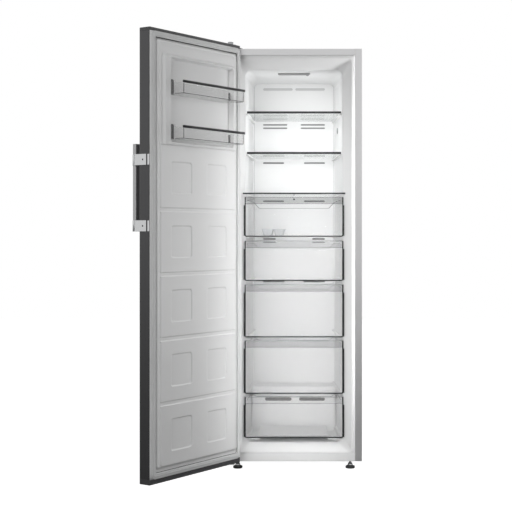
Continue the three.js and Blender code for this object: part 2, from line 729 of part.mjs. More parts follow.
// two pressed half shells with a weld seam, on a foot plate with four rubber grommets
const compressor = () => {
  const bottom = PLATE_Z + COMP_PLATE_T - GAP;
  const seam = COMP_H * 0.52;
  const profile = [
    [0, 0], [COMP_R * 0.62, 0], [COMP_R * 0.9, COMP_H * 0.12],
    [COMP_R * 0.98, seam], [COMP_R + 3, seam], [COMP_R + 3, seam + 4], [COMP_R * 0.98, seam + 4],
    [COMP_R * 0.95, COMP_H * 0.78], [COMP_R * 0.82, COMP_H * 0.92], [COMP_R * 0.5, COMP_H], [0, COMP_H],
  ];
  const pot = turned(profile, ROUND, [0, 0, 0]).scale([COMP_STRETCH, 1, 1])
    .translate([COMP_X, COMP_Y, bottom]);
  const w = COMP_PLATE_W / 2;
  const d = COMP_PLATE_D / 2;
  const plate = alongZ(
    roundedBox(COMP_X - w, COMP_X + w, COMP_Y - d, COMP_Y + d, GROMMET_R),
    PLATE_Z, PLATE_Z + COMP_PLATE_T,
  );
  const grommets = [-1, 1].flatMap((i) => [-1, 1].map((j) => pin(
    GROMMET_R, BASE_SHEET + GAP, PLATE_Z + COMP_PLATE_T + 4, SMALL_ROUND,
    [COMP_X + i * (w - GROMMET_R), COMP_Y + j * (d - GROMMET_R), 0],
  )));
  return join(pot, plate, ...grommets);
};
const COMP_TOP = PLATE_Z + COMP_PLATE_T - GAP + COMP_H;

// the tray on the compressor that dries the defrost water
const dripTray = () => {
  const outline = (grow) => roundedBox(
    COMP_X - DRIP_W / 2 - grow, COMP_X + DRIP_W / 2 + grow,
    COMP_Y - DRIP_D / 2 - grow, COMP_Y + DRIP_D / 2 + grow, 14 + grow,
  );
  const bottom = COMP_TOP + GAP;
  return cut(
    loftZ([{ z: bottom, outline: outline(-4) }, { z: bottom + DRIP_H, outline: outline(0) }]),
    loftZ([
      { z: bottom + DRIP_WALL, outline: outline(-4 - DRIP_WALL) },
      { z: bottom + DRIP_H + BITE, outline: outline(-DRIP_WALL) },
    ]),
  );
};

const PIPE_EXIT_Z = PLATE_Z + COMP_H * 0.4;
const pipeStart = COMP_X - (COMP_R * 0.98) * COMP_STRETCH - 0.8;
const dischargePipe = () => tube([
  [pipeStart, COMP_Y - 12, PIPE_EXIT_Z],
  [pipeStart - DISCHARGE_OUT / 2 + 1, COMP_Y - 12, PIPE_EXIT_Z],
  [pipeStart - DISCHARGE_OUT + 2, COMP_Y - 20, PIPE_EXIT_Z + DISCHARGE_RISE - 8],
  [pipeStart - DISCHARGE_OUT, COMP_Y - DISCHARGE_BACK, PIPE_EXIT_Z + DISCHARGE_RISE],
  [pipeStart - DISCHARGE_OUT, NICHE_Y + SHEET + GAP, PIPE_EXIT_Z + DISCHARGE_RISE],
], PIPE_R, PIPE_STEPS);
const suctionPipe = () => tube([
  [pipeStart, COMP_Y + 14, PIPE_EXIT_Z - SUCTION_DROP],
  [pipeStart - SUCTION_OUT, COMP_Y + 14, PIPE_EXIT_Z - SUCTION_DROP],
  [pipeStart - SUCTION_TURN, COMP_Y + 6, PIPE_EXIT_Z - 8],
  [pipeStart - SUCTION_REACH, COMP_Y - SUCTION_SIDE, PIPE_EXIT_Z + 6],
  [pipeStart - SUCTION_REACH, NICHE_Y + SHEET + GAP, PIPE_EXIT_Z + 6],
], PIPE_R + 1, PIPE_STEPS);

const REAR_COVER_HW = SIDE - REAR_FLANGE - GAP;
const GLAND_X = -SIDE + GLAND_IN;
const rearCover = () => {
  const z0 = GAP;
  const plate = alongY(roundedBox(-REAR_COVER_HW, REAR_COVER_HW, z0, NICHE_H - GAP, 6), BACK - 1.6, BACK);
  const pitch = (2 * REAR_COVER_HW - LOUVRE_GLAND_IN - LOUVRE_END_IN) / LOUVRES;
  const slots = Array.from({ length: LOUVRES }, (_, i) => {
    const x = -REAR_COVER_HW + LOUVRE_GLAND_IN + pitch * (i + 0.5);
    return [0.3, 0.68].map((share) => alongY(
      roundedBox(x - LOUVRE_W / 2, x + LOUVRE_W / 2, NICHE_H * share - LOUVRE_H / 2,
        NICHE_H * share + LOUVRE_H / 2, LOUVRE_W / 3, 1),
      BACK - 3, BACK + 1,
    ));
  }).flat();
  return cut(plate, ...slots, pin(GLAND_R - 3 + GAP, -4, 4, SMALL_ROUND, [GLAND_X, BACK, GLAND_Z], 'y'));
};

// a bush that the mains lead would pass through
const cordGland = () => turned([
  [CORD_R, -5], [GLAND_R - 3, -5], [GLAND_R - 3, GAP], [GLAND_R, GAP], [GLAND_R - 1, 7],
  [CORD_R, 9], [CORD_R, -5],
], SMALL_ROUND, [GLAND_X, BACK, GLAND_Z], 'y');

node(cabinet, 'compressor', compressor(), finish.black);
node(cabinet, 'drip_tray', dripTray(), finish.black);
node(cabinet, 'discharge_pipe', dischargePipe(), finish.copper);
node(cabinet, 'suction_pipe', suctionPipe(), finish.copper);
node(cabinet, 'rear_cover', rearCover(), finish.black);
node(cabinet, 'cord_gland', cordGland(), finish.black);

// ---------------------------------------------------------------- air duct, evaporator and fan

const ductCover = () => {
  const y = at(DUCT_Y);
  const section = [
    [-DUCT_HW, y], [DUCT_HW, y], [DUCT_HW, at(LINER_BACK) - GAP], [DUCT_HW - DUCT_T, at(LINER_BACK) - GAP],
    [DUCT_HW - DUCT_T, y + DUCT_T], [-DUCT_HW + DUCT_T, y + DUCT_T],
    [-DUCT_HW + DUCT_T, at(LINER_BACK) - GAP], [-DUCT_HW, at(LINER_BACK) - GAP],
  ];
  const shell = alongZ(section, RETURN_TOP + GAP, ceilingAt(LINER_BACK) - DUCT_TOP_GAP);
  const slots = SLOT_ROWS.flatMap(([z, land, height]) => [-1, 1].map((side) => alongY(
    slot(Math.min(side * land, side * SLOT_OUTER), Math.max(side * land, side * SLOT_OUTER), z, height),
    y - BITE, y + DUCT_T + BITE,
  )));
  const sensor = turned([
    [0, -SENSOR_D], [SENSOR_R * 0.7, -SENSOR_D], [SENSOR_R, -SENSOR_D * 0.6], [SENSOR_R, BITE], [0, BITE],
  ], SMALL_ROUND, [0, y, SENSOR_Z], 'y');
  return join(cut(shell.intersect(compartment(-2 * GAP, FRONT)), ...slots), sensor);
};

// the lower cover steps forward over the machine niche and holds the return grille
const returnCover = () => {
  const z0 = FLOOR + GAP;
  const y1 = at(LINER_BACK) - GAP;
  const sheet = alongX([
    [RETURN_Y, z0], [RETURN_Y + DUCT_T, z0], [RETURN_Y + DUCT_T, RETURN_TOP - DUCT_T],
    [y1, RETURN_TOP - DUCT_T], [y1, RETURN_TOP], [RETURN_Y + 3, RETURN_TOP], [RETURN_Y, RETURN_TOP - 3],
  ], -DUCT_HW, DUCT_HW);
  const slots = RETURN_SLOTS.map(([x0, x1]) => alongY(
    slot(x0, x1, RETURN_TOP - RETURN_SLOT_DROP, RETURN_SLOT_H, 4),
    RETURN_Y - BITE, RETURN_Y + DUCT_T + BITE,
  ));
  const ductInlet = block(
    [-DUCT_HW + 3 * DUCT_T, DUCT_HW - 3 * DUCT_T],
    [at(DUCT_Y) + 3 * DUCT_T, at(LINER_BACK) - 3 * DUCT_T],
    [RETURN_TOP - DUCT_T - BITE, RETURN_TOP + BITE],
  );
  return cut(sheet.intersect(compartment(-2 * GAP, FRONT)), ...slots, ductInlet);
};

const EVAP_Y0 = at(DUCT_Y) + DUCT_T + 4;
const EVAP_Y1 = at(LINER_BACK) - 4;
const EVAP_HW = DUCT_HW - DUCT_T - GAP;

// a serpentine tube through flat fins, held by two end plates
const evaporator = () => {
  const midY = (EVAP_Y0 + EVAP_Y1) / 2;
  const pitch = EVAP_H / TUBE_ROWS;
  const finSpan = 2 * (EVAP_HW - EVAP_IN);
  const fins = Array.from({ length: FIN_COUNT }, (_, i) => {
    const x = -finSpan / 2 + (finSpan * i) / (FIN_COUNT - 1);
    return block([x - FIN_T / 2, x + FIN_T / 2], [EVAP_Y0, EVAP_Y1], [EVAP_Z, EVAP_Z + EVAP_H]);
  });
  const ends = [-1, 1].map((side) => block(
    side < 0 ? [-EVAP_HW, -EVAP_HW + 1.5] : [EVAP_HW - 1.5, EVAP_HW],
    [EVAP_Y0 - 4 + GAP, EVAP_Y1], [EVAP_Z, EVAP_Z + EVAP_H],
  ));
  const rows = Array.from({ length: TUBE_ROWS }, (_, i) => pin(
    TUBE_R, -EVAP_HW + 1, EVAP_HW - 1, 6, [0, midY, EVAP_Z + pitch * (i + 0.5)], 'x',
  ));
  const bends = Array.from({ length: TUBE_ROWS - 1 }, (_, i) => {
    const side = i % 2 ? -1 : 1;
    const x = side * (EVAP_HW - 10);
    return block([x - TUBE_R / 2, x + TUBE_R / 2], [midY - TUBE_R / 2, midY + TUBE_R / 2],
      [EVAP_Z + pitch * (i + 0.5), EVAP_Z + pitch * (i + 1.5)]);
  });
  return join(fins[0], ...fins.slice(1), ...ends, ...rows, ...bends);
};

const FAN_Z = EVAP_Z + EVAP_H + FAN_ABOVE;
const FAN_Y = at(DUCT_Y) + DUCT_T + 20; // the fan's mid plane
const SHROUD_Y = FAN_Y + 2;

// a plate across the duct with the fan's ring, four pillars to the cover, and the motor on three struts
const fanMount = () => {
  const hw = DUCT_HW - 3 * DUCT_T;
  const ringR = FAN_R + FAN_TIP_CLEAR;
  const plate = alongY(roundedBox(-hw, hw, FAN_Z - FAN_R - 22, FAN_Z + FAN_R + 22, 10), SHROUD_Y, SHROUD_Y + DUCT_T);
  const hole = pin(ringR, -10, 10, ROUND, [0, SHROUD_Y, FAN_Z], 'y');
  const pillars = [-1, 1].flatMap((i) => [-1, 1].map((j) => pin(
    4, at(DUCT_Y) + DUCT_T + GAP, SHROUD_Y + 1, SMALL_ROUND, [i * (hw - 14), 0, FAN_Z + j * (FAN_R + 8)], 'y',
  )));
  const motorY0 = SHROUD_Y + 9;
  const motor = pin(MOTOR_R, motorY0, motorY0 + MOTOR_D, ROUND, [0, 0, FAN_Z], 'y');
  const struts = [90, 210, 330].map((deg) => {
    const arm = block([0, ringR + 4], [motorY0, motorY0 + 4], [-4, 4]);
    const post = block([ringR + 1, ringR + 7], [SHROUD_Y, motorY0 + 4], [-4, 4]);
    return arm.add(post).rotate([0, deg, 0]).translate([0, 0, FAN_Z]);
  });
  const bore = pin(SHAFT_R + AXLE_CLEAR, motorY0 - BITE, motorY0 + MOTOR_D * 0.6, SMALL_ROUND, [0, 0, FAN_Z], 'y');
  return cut(join(cut(plate, hole), ...pillars, motor, ...struts), bore);
};

// hub, pitched blades and the shaft that runs in the motor
const fanWheel = () => {
  const hub = pin(FAN_HUB_R, FAN_Y - 9, FAN_Y + 7, ROUND, [0, 0, FAN_Z], 'y');
  const shaft = pin(SHAFT_R, FAN_Y, SHROUD_Y + 9 + MOTOR_D * 0.6 - 1, SMALL_ROUND, [0, 0, FAN_Z], 'y');
  const blades = Array.from({ length: FAN_BLADES }, (_, i) => {
    const root = FAN_HUB_R - 3;
    const outline = rounded([[root, -9], [FAN_R * 0.8, -15], [FAN_R, 0], [FAN_R * 0.84, 16], [root, 9]], [0, 4, 8, 4, 0], 2);
    return alongY(outline, -0.9, 0.9).rotate([26, 0, 0])
      .rotate([0, (360 * i) / FAN_BLADES, 0]).translate([0, FAN_Y - 1, FAN_Z]);
  });
  const reach = pin(FAN_R, FAN_Y - 9, FAN_Y + 7, ROUND, [0, 0, FAN_Z], 'y');
  return join(join(hub, ...blades).intersect(reach), shaft);
};

node(cabinet, 'duct_cover', ductCover(), finish.white);
node(cabinet, 'return_cover', returnCover(), finish.white);
node(cabinet, 'evaporator_coil', evaporator(), finish.aluminium);
node(cabinet, 'fan_mount', fanMount(), finish.white);
node(freezer, 'fan_wheel', fanWheel(), finish.white);

// a strip lamp under the ceiling with a bevelled lens
const lamp = () => {
  const top = ceilingAt(LAMP_Y + LAMP_D) - GAP;
  const y0 = at(LAMP_Y);
  const y1 = at(LAMP_Y + LAMP_D);
  const outline = (grow) => roundedBox(-LAMP_W / 2 - grow, LAMP_W / 2 + grow, y0 - grow, y1 + grow, 8 + grow);
  return loftZ([
    { z: top, outline: outline(0) },
    { z: top - LAMP_H * 0.5, outline: outline(0) },
    { z: top - LAMP_H, outline: outline(-4) },
  ]);
};
node(cabinet, 'led_lamp', lamp(), finish.white);

// ---------------------------------------------------------------- shelves

const glass = (z, depth0, frontHw) => alongZ(rounded([
  [-frontHw, at(depth0)],
  [frontHw, at(depth0)],
  [wallAt(DUCT_Y) - SHELF_SIDE_CLEAR, at(DUCT_Y) - SHELF_REAR_GAP],
  [-wallAt(DUCT_Y) + SHELF_SIDE_CLEAR, at(DUCT_Y) - SHELF_REAR_GAP],
], [3, 3, 14, 14], 3), z, z + GLASS_T);

// the front trim grips the glass in a channel
const shelfTrim = (z, depth0, height, hw, run) => {
  const y = at(depth0);
  const low = z - (height - GLASS_T) / 2;
  const high = low + height;
  const seat = y + TRIM_WALL + 2;
  return alongX([
    [y, low + 1.5], [y + 1.5, low], [y + run, low], [y + run, z - GAP], [seat, z - GAP],
    [seat, z + GLASS_T + GAP], [y + run, z + GLASS_T + GAP], [y + run, high], [y + 1.5, high],
    [y, high - 1.5],
  ], -hw, hw);
};

const NARROW_HW = wallAt(NARROW_SHELF_Y) - SHELF_SIDE_CLEAR - 1.5;
const WIDE_HW = OPEN_HW - (WALL_INSET * WIDE_SHELF_Y) / CHAMFER_D - WIDE_TRIM_CLEAR - 4;
const shelves = [
  ['upper', UPPER_SHELF, NARROW_SHELF_Y, TRIM_H, NARROW_HW, TRIM_D],
  ['middle', MIDDLE_SHELF, NARROW_SHELF_Y, TRIM_H, NARROW_HW, TRIM_D],
  ['lower', WIDE_SHELF, WIDE_SHELF_Y, WIDE_TRIM_H, WIDE_HW, WIDE_TRIM_D],
];
for (const [name, z, depth, height, hw, run] of shelves) {
  const glassDepth = depth + TRIM_WALL + 2 + GAP;
  node(cabinet, `shelf_glass_${name}`, glass(z, glassDepth, NARROW_HW - 1), finish.glass);
  node(cabinet, `shelf_trim_${name}`, shelfTrim(z, depth, height, hw, run), finish.trim);
}

// ---------------------------------------------------------------- drawers

const boxOutline = (inset, y0, y1) => {
  const half = (y) => wallAt(Math.max(y - FRONT, CHAMFER_D)) - DRAWER_SIDE_CLEAR - inset;
  return rounded(
    [[-half(y0), y0], [half(y0), y0], [half(y1), y1 - inset], [-half(y1), y1 - inset]],
    [0, 0, DRAWER_CORNER, DRAWER_CORNER],
  );
};

// a clear drawer body: floor, two sides that narrow to the back, and a lower back wall
const drawerBox = ({ bottom, top, back }) => {
  const y0 = at(DRAWER_FRONT_Y + DRAWER_FRONT_T) + GAP;
  const y1 = back - DRAWER_REAR_GAP;
  const z0 = bottom + DRAWER_FLOOR_LIFT;
  const z1 = top - DRAWER_RIM_DROP;
  const shell = (inset, start, low, high) => loftZ([
    { z: low, outline: boxOutline(inset + DRAWER_DRAFT, start, y1) },
    { z: high, outline: boxOutline(inset, start, y1) },
  ]);
  const slope = alongX([
    [y1 - BACK_SLOPE_FROM, z1 + BITE], [y1 - BACK_SLOPE_TO, z1 - DRAWER_BACK_DROP], [y1 + BITE, z1 - DRAWER_BACK_DROP], [y1 + BITE, z1 + BITE],
  ], -SIDE, SIDE);
  const rim = cut(
    alongZ(boxOutline(-2.5, y0, y1 + 2.5), z1 - DRAWER_BACK_DROP - 3, z1 - DRAWER_BACK_DROP),
    alongZ(boxOutline(DRAWER_WALL, y0 - BITE, y1), z1 - DRAWER_BACK_DROP - 3 - BITE, z1 + BITE),
  );
  return join(
    cut(shell(0, y0, z0, z1), shell(DRAWER_WALL, y0 - BITE, z0 + DRAWER_WALL, z1 + BITE), slope),
    rim.intersect(block([-SIDE, SIDE], [y0, BACK], [z0, z1])),
  );
};

// the clear front: a flat pane whose top is set back as a grip strip
const drawerFront = ({ bottom, top }, tabs) => {
  const y = at(DRAWER_FRONT_Y);
  const t = DRAWER_FRONT_T;
  const step = top - GRIP_H;
  const section = [
    [y + 1, bottom], [y + t, bottom], [y + t, top], [y + t - 1.8, top], [y - GRIP_STEP + 1, top - 2],
    [y - GRIP_STEP, top - 4], [y - GRIP_STEP, top - 7], [y, step + 1], [y, bottom + 1],
  ];
  const mask = alongY(
    roundedBox(-DRAWER_HW, DRAWER_HW, bottom, top, FRONT_CORNER), y - GRIP_STEP - BITE, y + t + BITE,
  );
  const pane = alongX(section, -DRAWER_HW, DRAWER_HW).intersect(mask);
  if (!tabs) return pane;
  const stops = [-1, 1].map((side) => {
    const outer = side * (DRAWER_HW - TAB_INSET);
    const inner = side * (DRAWER_HW - TAB_INSET - TAB_W);
    return alongY(roundedBox(Math.min(inner, outer), Math.max(inner, outer), bottom - TAB_H, bottom + 4, 3), y + 0.5, y + t);
  });
  return join(pane, ...stops);
};

drawers.forEach((drawer, i) => {
  const slide = new THREE.Group();
  node(slide, `drawer_box_${i + 1}`, drawerBox(drawer), finish.clear);
  node(slide, `drawer_front_${i + 1}`, drawerFront(drawer, i === drawers.length - 1), finish.clear);
  freezer.add(slide);
});

// a moulded ice tray: a rim and rows of tapering cups
const iceTray = () => {
  const z0 = drawers[0].bottom + DRAWER_FLOOR_LIFT + DRAWER_WALL + GAP;
  const y0 = at(TRAY_Y);
  const cupW = (TRAY_W - 2 * TRAY_RIM) / TRAY_COLUMNS;
  const cupL = (TRAY_L - 2 * TRAY_RIM) / TRAY_ROWS;
  const cup = (i, j, inset, low, high) => {
    const x = TRAY_X - TRAY_W / 2 + TRAY_RIM + cupW * i;
    const y = y0 + TRAY_RIM + cupL * j;
    const outline = (d) => roundedBox(x + d, x + cupW - d, y + d, y + cupL - d, 5, 1);
    return loftZ([{ z: low, outline: outline(inset + TRAY_DRAFT) }, { z: high, outline: outline(inset) }]);
  };
  const cells = Array.from({ length: TRAY_COLUMNS * TRAY_ROWS }, (_, k) => [k % TRAY_COLUMNS, Math.floor(k / TRAY_COLUMNS)]);
  const rim = alongZ(
    roundedBox(TRAY_X - TRAY_W / 2, TRAY_X + TRAY_W / 2, y0, y0 + TRAY_L, 8),
    z0 + TRAY_H - TRAY_RIM_T, z0 + TRAY_H,
  );
  return cut(
    join(rim, ...cells.map(([i, j]) => cup(i, j, 0.2, z0, z0 + TRAY_H - TRAY_RIM_T / 2))),
    ...cells.map(([i, j]) => cup(i, j, 0.2 + TRAY_WALL, z0 + TRAY_WALL, z0 + TRAY_H + BITE)),
  );
};
node(freezer, 'ice_tray', iceTray(), finish.white);

// ---------------------------------------------------------------- door

// the folded outer sheet of the door
const doorSkin = () => {
  const outline = (t) => rounded([
    [-SIDE + t, DOOR_INNER - DOOR_LINER_T - GAP], [-SIDE + t, DOOR_OUTER + t],
    [SIDE - t, DOOR_OUTER + t], [SIDE - t, DOOR_INNER - DOOR_LINER_T - GAP],
  ], [0, DOOR_BEND - t, DOOR_BEND - t, 0]);
  const shell = alongZ([...outline(0), ...outline(SHEET).reverse()], SKIN_BOTTOM + GAP, SKIN_TOP - GAP);
  const y = DOOR_INNER - DOOR_LINER_T - GAP;
  const returns = [-1, 1].map((side) => block(
    side < 0 ? [-SIDE, -SIDE + DOOR_RETURN] : [SIDE - DOOR_RETURN, SIDE],
    [y - SHEET, y], [SKIN_BOTTOM + GAP, SKIN_TOP - GAP],
  ));
  return join(shell, ...returns);
};

// the plug and the raised frame round the bins, drawn in by t all round and sunk by t
const doorForm = (t, base) => {
  const foot = { hw: PLUG_HW - t, z0: PLUG_BOTTOM + t, z1: PLUG_TOP - t, r: CORNER_FRONT };
  const sink = t > 0 ? DOOR_FACE_T - DOOR_LINER_T + t : 0;
  const plug = loftY([
    { ...foot, y: base },
    { ...foot, y: doorAt(0) + 0.01 },
    {
      y: doorAt(PLUG_D - sink), hw: PLUG_HW - PLUG_BEVEL - t, z0: PLUG_BOTTOM + PLUG_BEVEL + t,
      z1: PLUG_TOP - PLUG_BEVEL - t, r: CORNER_FRONT + 4,
    },
  ]);
  const frame = loftY([
    { y: doorAt(0), hw: FRAME_HW - t, z0: FRAME_BOTTOM + t, z1: FRAME_TOP - t, r: CORNER_FRONT },
    { y: doorAt(PLUG_D - 4), hw: FRAME_HW - t, z0: FRAME_BOTTOM + t, z1: FRAME_TOP - t, r: CORNER_FRONT },
    {
      y: doorAt(FRAME_D - t), hw: FRAME_HW - FRAME_BEVEL - t,
      z0: FRAME_BOTTOM + 4 + t, z1: FRAME_TOP - FRAME_BEVEL - t, r: CORNER_FRONT,
    },
  ]);
  const recess = loftY([
    { y: doorAt(RECESS_D) - t, hw: RECESS_HW + t, z0: RECESS_BOTTOM - t, z1: RECESS_TOP + t, r: CORNER_FRONT },
    { y: doorAt(FRAME_D) + BITE, hw: RECESS_HW + t, z0: RECESS_BOTTOM - t, z1: RECESS_TOP + t + 8, r: CORNER_FRONT },
  ]);
  return cut(join(plug, frame), recess);
};

const LINER_HW = SIDE - 1.5;
const doorLiner = () => {
  const flange = block(
    [-LINER_HW, LINER_HW], [DOOR_INNER - DOOR_LINER_T, DOOR_INNER], [SKIN_BOTTOM + GAP, SKIN_TOP - GAP],
  );
  const inside = doorForm(DOOR_LINER_T, DOOR_INNER - DOOR_LINER_T - BITE);
  const bay = (FRAME_BOTTOM - PLUG_BOTTOM) / PANEL_BAYS;
  const bayZ = (i) => PLUG_BOTTOM + bay * i;
  const face = doorAt(PLUG_D);
  const grooveHw = PLUG_HW - PLUG_BEVEL + 2;
  const grooves = Array.from({ length: PANEL_BAYS - 1 }, (_, i) => alongX([
    [face - GROOVE_DEPTH, bayZ(i + 1) - GROOVE_W * 0.36], [face - GROOVE_DEPTH, bayZ(i + 1) + GROOVE_W * 0.36],
    [face + BITE, bayZ(i + 1) + GROOVE_W / 2 + 0.5], [face + BITE, bayZ(i + 1) - GROOVE_W / 2 - 0.5],
  ], -grooveHw, grooveHw));
  const panels = Array.from({ length: PANEL_BAYS }, (_, i) => bayZ(i + 0.5)).flatMap((z) => [-1, 1].map((side) => {
    const section = (grow, y) => ({ y, grow });
    return loft([section(-PANEL_DEPTH, face - PANEL_DEPTH), section(BITE, face + BITE)].map(({ y, grow }) => roundedBox(
      side * PANEL_X - PANEL_W / 2 - grow, side * PANEL_X + PANEL_W / 2 + grow,
      z - PANEL_H / 2 - grow, z + PANEL_H / 2 + grow, PANEL_CORNER, 2,
    ).map(([x, h]) => [x, y, h])));
  }));
  return cut(join(flange, doorForm(0, DOOR_INNER - DOOR_LINER_T)), inside, ...grooves, ...panels);
};

const doorFoam = () => join(
  block(
    [-SIDE + SHEET + GAP, SIDE - SHEET - GAP],
    [DOOR_OUTER + SHEET + GAP, DOOR_INNER - DOOR_LINER_T - GAP - SHEET - GAP],
    [SKIN_BOTTOM + GAP, SKIN_TOP - GAP],
  ).intersect(alongZ(roundedBox(-SIDE + SHEET + GAP, SIDE - SHEET - GAP, DOOR_OUTER + SHEET + GAP, DOOR_INNER, DOOR_BEND), 0, DOOR_TOP)),
  doorForm(DOOR_LINER_T + GAP, DOOR_OUTER + DOOR_T / 2),
);

// the magnetic seal: a narrow foot in the liner and a broad cushion that meets the cabinet;
// the cushion's outer side slopes, so that it clears the cabinet's edge as the door starts to turn
const doorGasket = () => {
  const frame = (inset, height, r = CORNER_FRONT) => ({
    y: doorAt(height), hw: SIDE - inset, z0: DOOR_BOTTOM + inset, z1: DOOR_TOP - inset, r,
  });
  const ring = (inset, width, slope, heights) => {
    const [low, shoulder, top] = heights;
    return cut(
      loftY([frame(inset, low), frame(inset, shoulder), frame(inset + slope, top)]),
      loftY([frame(inset + width, low - BITE, 4), frame(inset + width, top + BITE, 4)]),
    );
  };
  const top = DOOR_STANDOFF - 0.6;
  const foot = GASKET_INSET + (GASKET_W - GASKET_BASE_W) / 2;
  return join(
    ring(foot, GASKET_BASE_W, 0, [GAP, GASKET_BASE_T, GASKET_BASE_T + 0.5]),
    ring(GASKET_INSET, GASKET_W, GASKET_SLOPE, [GASKET_BASE_T, GASKET_SHOULDER, top]),
  );
};

// end caps of the door, each with a bush for a hinge pin
const doorCap = (z0, z1, openAbove) => {
  const outer = roundedBox(-SIDE, SIDE, DOOR_OUTER, DOOR_INNER, [DOOR_BEND, DOOR_BEND, 1, 1]);
  const inner = roundedBox(-SIDE + CAP_WALL, SIDE - CAP_WALL, DOOR_OUTER + CAP_WALL, DOOR_INNER - CAP_WALL, DOOR_BEND - CAP_WALL);
  const pocket = openAbove ? [z0 + CAP_WALL, z1 + BITE] : [z0 - BITE, z1 - CAP_WALL];
  const bush = pin(BUSH_R, z0, z1, ROUND, [HINGE_X, HINGE_Y, 0]);
  const bore = pin(PIN_R + PIN_CLEAR, z0 - BITE, z1 + BITE, ROUND, [HINGE_X, HINGE_Y, 0]);
  return cut(join(cut(alongZ(outer, z0, z1), alongZ(inner, ...pocket)), bush), bore);
};

node(shutDoor, 'door_skin', doorSkin(), finish.steel);
node(shutDoor, 'door_foam', doorFoam(), finish.foam);
node(shutDoor, 'door_liner', doorLiner(), finish.white);
node(shutDoor, 'door_gasket', doorGasket(), finish.gasket);
node(shutDoor, 'door_cap_top', doorCap(SKIN_TOP, DOOR_TOP, false), finish.cap);
node(shutDoor, 'door_cap_bottom', doorCap(DOOR_BOTTOM, SKIN_BOTTOM, true), finish.cap);

// ---------------------------------------------------------------- door bins

const BIN_HW = RECESS_HW - BIN_CLEAR;
const BIN_Y0 = doorAt(RECESS_D) + GAP;
const BIN_Y1 = doorAt(BIN_D);

// a clear bin: low front, ends that rise to the back, and a hook that seats on each cheek of the frame
const doorBin = (z0) => {
  const outline = (inset, y0) => rounded(
    rectangle(-BIN_HW + inset, BIN_HW - inset, y0, BIN_Y1 - inset),
    [0, 0, BIN_CORNER - inset, BIN_CORNER - inset],
  );
  const body = cut(
    alongZ(outline(0, BIN_Y0), z0, z0 + BIN_BACK_H),
    alongZ(outline(BIN_WALL, BIN_Y0 + BIN_WALL), z0 + BIN_WALL, z0 + BIN_BACK_H + BITE),
    alongX([
      [doorAt(FRAME_D + BRACKET_W), z0 + BIN_BACK_H + BITE],
      [doorAt(FRAME_D + BRACKET_W), z0 + BIN_BACK_H - 4],
      [doorAt(FRAME_D + BRACKET_W) + 10, z0 + BIN_H],
      [BIN_Y1 + BITE, z0 + BIN_H],
      [BIN_Y1 + BITE, z0 + BIN_BACK_H + BITE],
    ], -SIDE, SIDE),
  );
  const hooks = [-1, 1].map((side) => block(
    side < 0 ? [-BIN_HW - HOOK_T, -BIN_HW + BITE] : [BIN_HW - BITE, BIN_HW + HOOK_T],
    [doorAt(RECESS_D + 6), doorAt(FRAME_D + BRACKET_W)], [z0 + BIN_BACK_H / 3, z0 + BIN_BACK_H],
  ));
  return join(body, ...hooks);
};

// the dark rail along the top of a bin's front
const binRail = (z0) => {
  const hw = BIN_HW - BIN_CORNER * 0.2;
  const y1 = BIN_Y1 + 1;
  const y0 = y1 - RAIL_BAR_T;
  const seat = z0 + BIN_H + GAP;
  return alongX(roundedBox(y0, y1, seat, seat + RAIL_BAR_H, 2, 2), -hw, hw);
};

for (const [name, z] of [['upper', BIN_HIGH], ['lower', BIN_LOW]]) {
  node(shutDoor, `door_bin_${name}`, doorBin(z), finish.clear);
  node(shutDoor, `bin_rail_${name}`, binRail(z), finish.trim);
}

// ---------------------------------------------------------------- handle

const BAR_X1 = SIDE - HANDLE_IN;
const BAR_X0 = BAR_X1 - HANDLE_W;
const BAR_Y1 = DOOR_OUTER - HANDLE_OUT;
const BAR_Y0 = BAR_Y1 - HANDLE_T;
const handleBar = () => alongZ(
  roundedBox(BAR_X0, BAR_X1, BAR_Y0, BAR_Y1, HANDLE_EDGE), HANDLE_Z, HANDLE_Z + HANDLE_L,
);

// an arm screwed to the door's side edge, which kinks inward to carry the bar
const handleArm = (z0) => {
  const x = SIDE + GAP;
  const kinkY = DOOR_OUTER - ARM_KINK;
  const path = [
    [x, DOOR_OUTER + ARM_ON_SIDE], [x, kinkY], [BAR_X1 + GAP, BAR_Y1 - 2], [BAR_X1 + GAP, BAR_Y0 + 2],
  ];
  const outer = [
    [BAR_X1 + GAP + ARM_T, BAR_Y0 + 2], [BAR_X1 + GAP + ARM_T, BAR_Y1 - 1], [x + ARM_T, kinkY - 1],
    [x + ARM_T, DOOR_OUTER + ARM_ON_SIDE],
  ];
  return alongZ([...path, ...outer], z0, z0 + ARM_H);
};

node(shutDoor, 'handle_bar', handleBar(), finish.handle);
node(shutDoor, 'handle_arm_lower', handleArm(HANDLE_Z), finish.chrome);
node(shutDoor, 'handle_arm_upper', handleArm(HANDLE_Z + HANDLE_L - UPPER_ARM_DROP - ARM_H), finish.chrome);

// ---------------------------------------------------------------- hinges

const HINGE_X0 = HINGE_X - HINGE_W / 2 + 2;
const HINGE_X1 = HINGE_X0 + HINGE_W;
const NOSE_Z = DOOR_TOP + HINGE_OVER_DOOR;

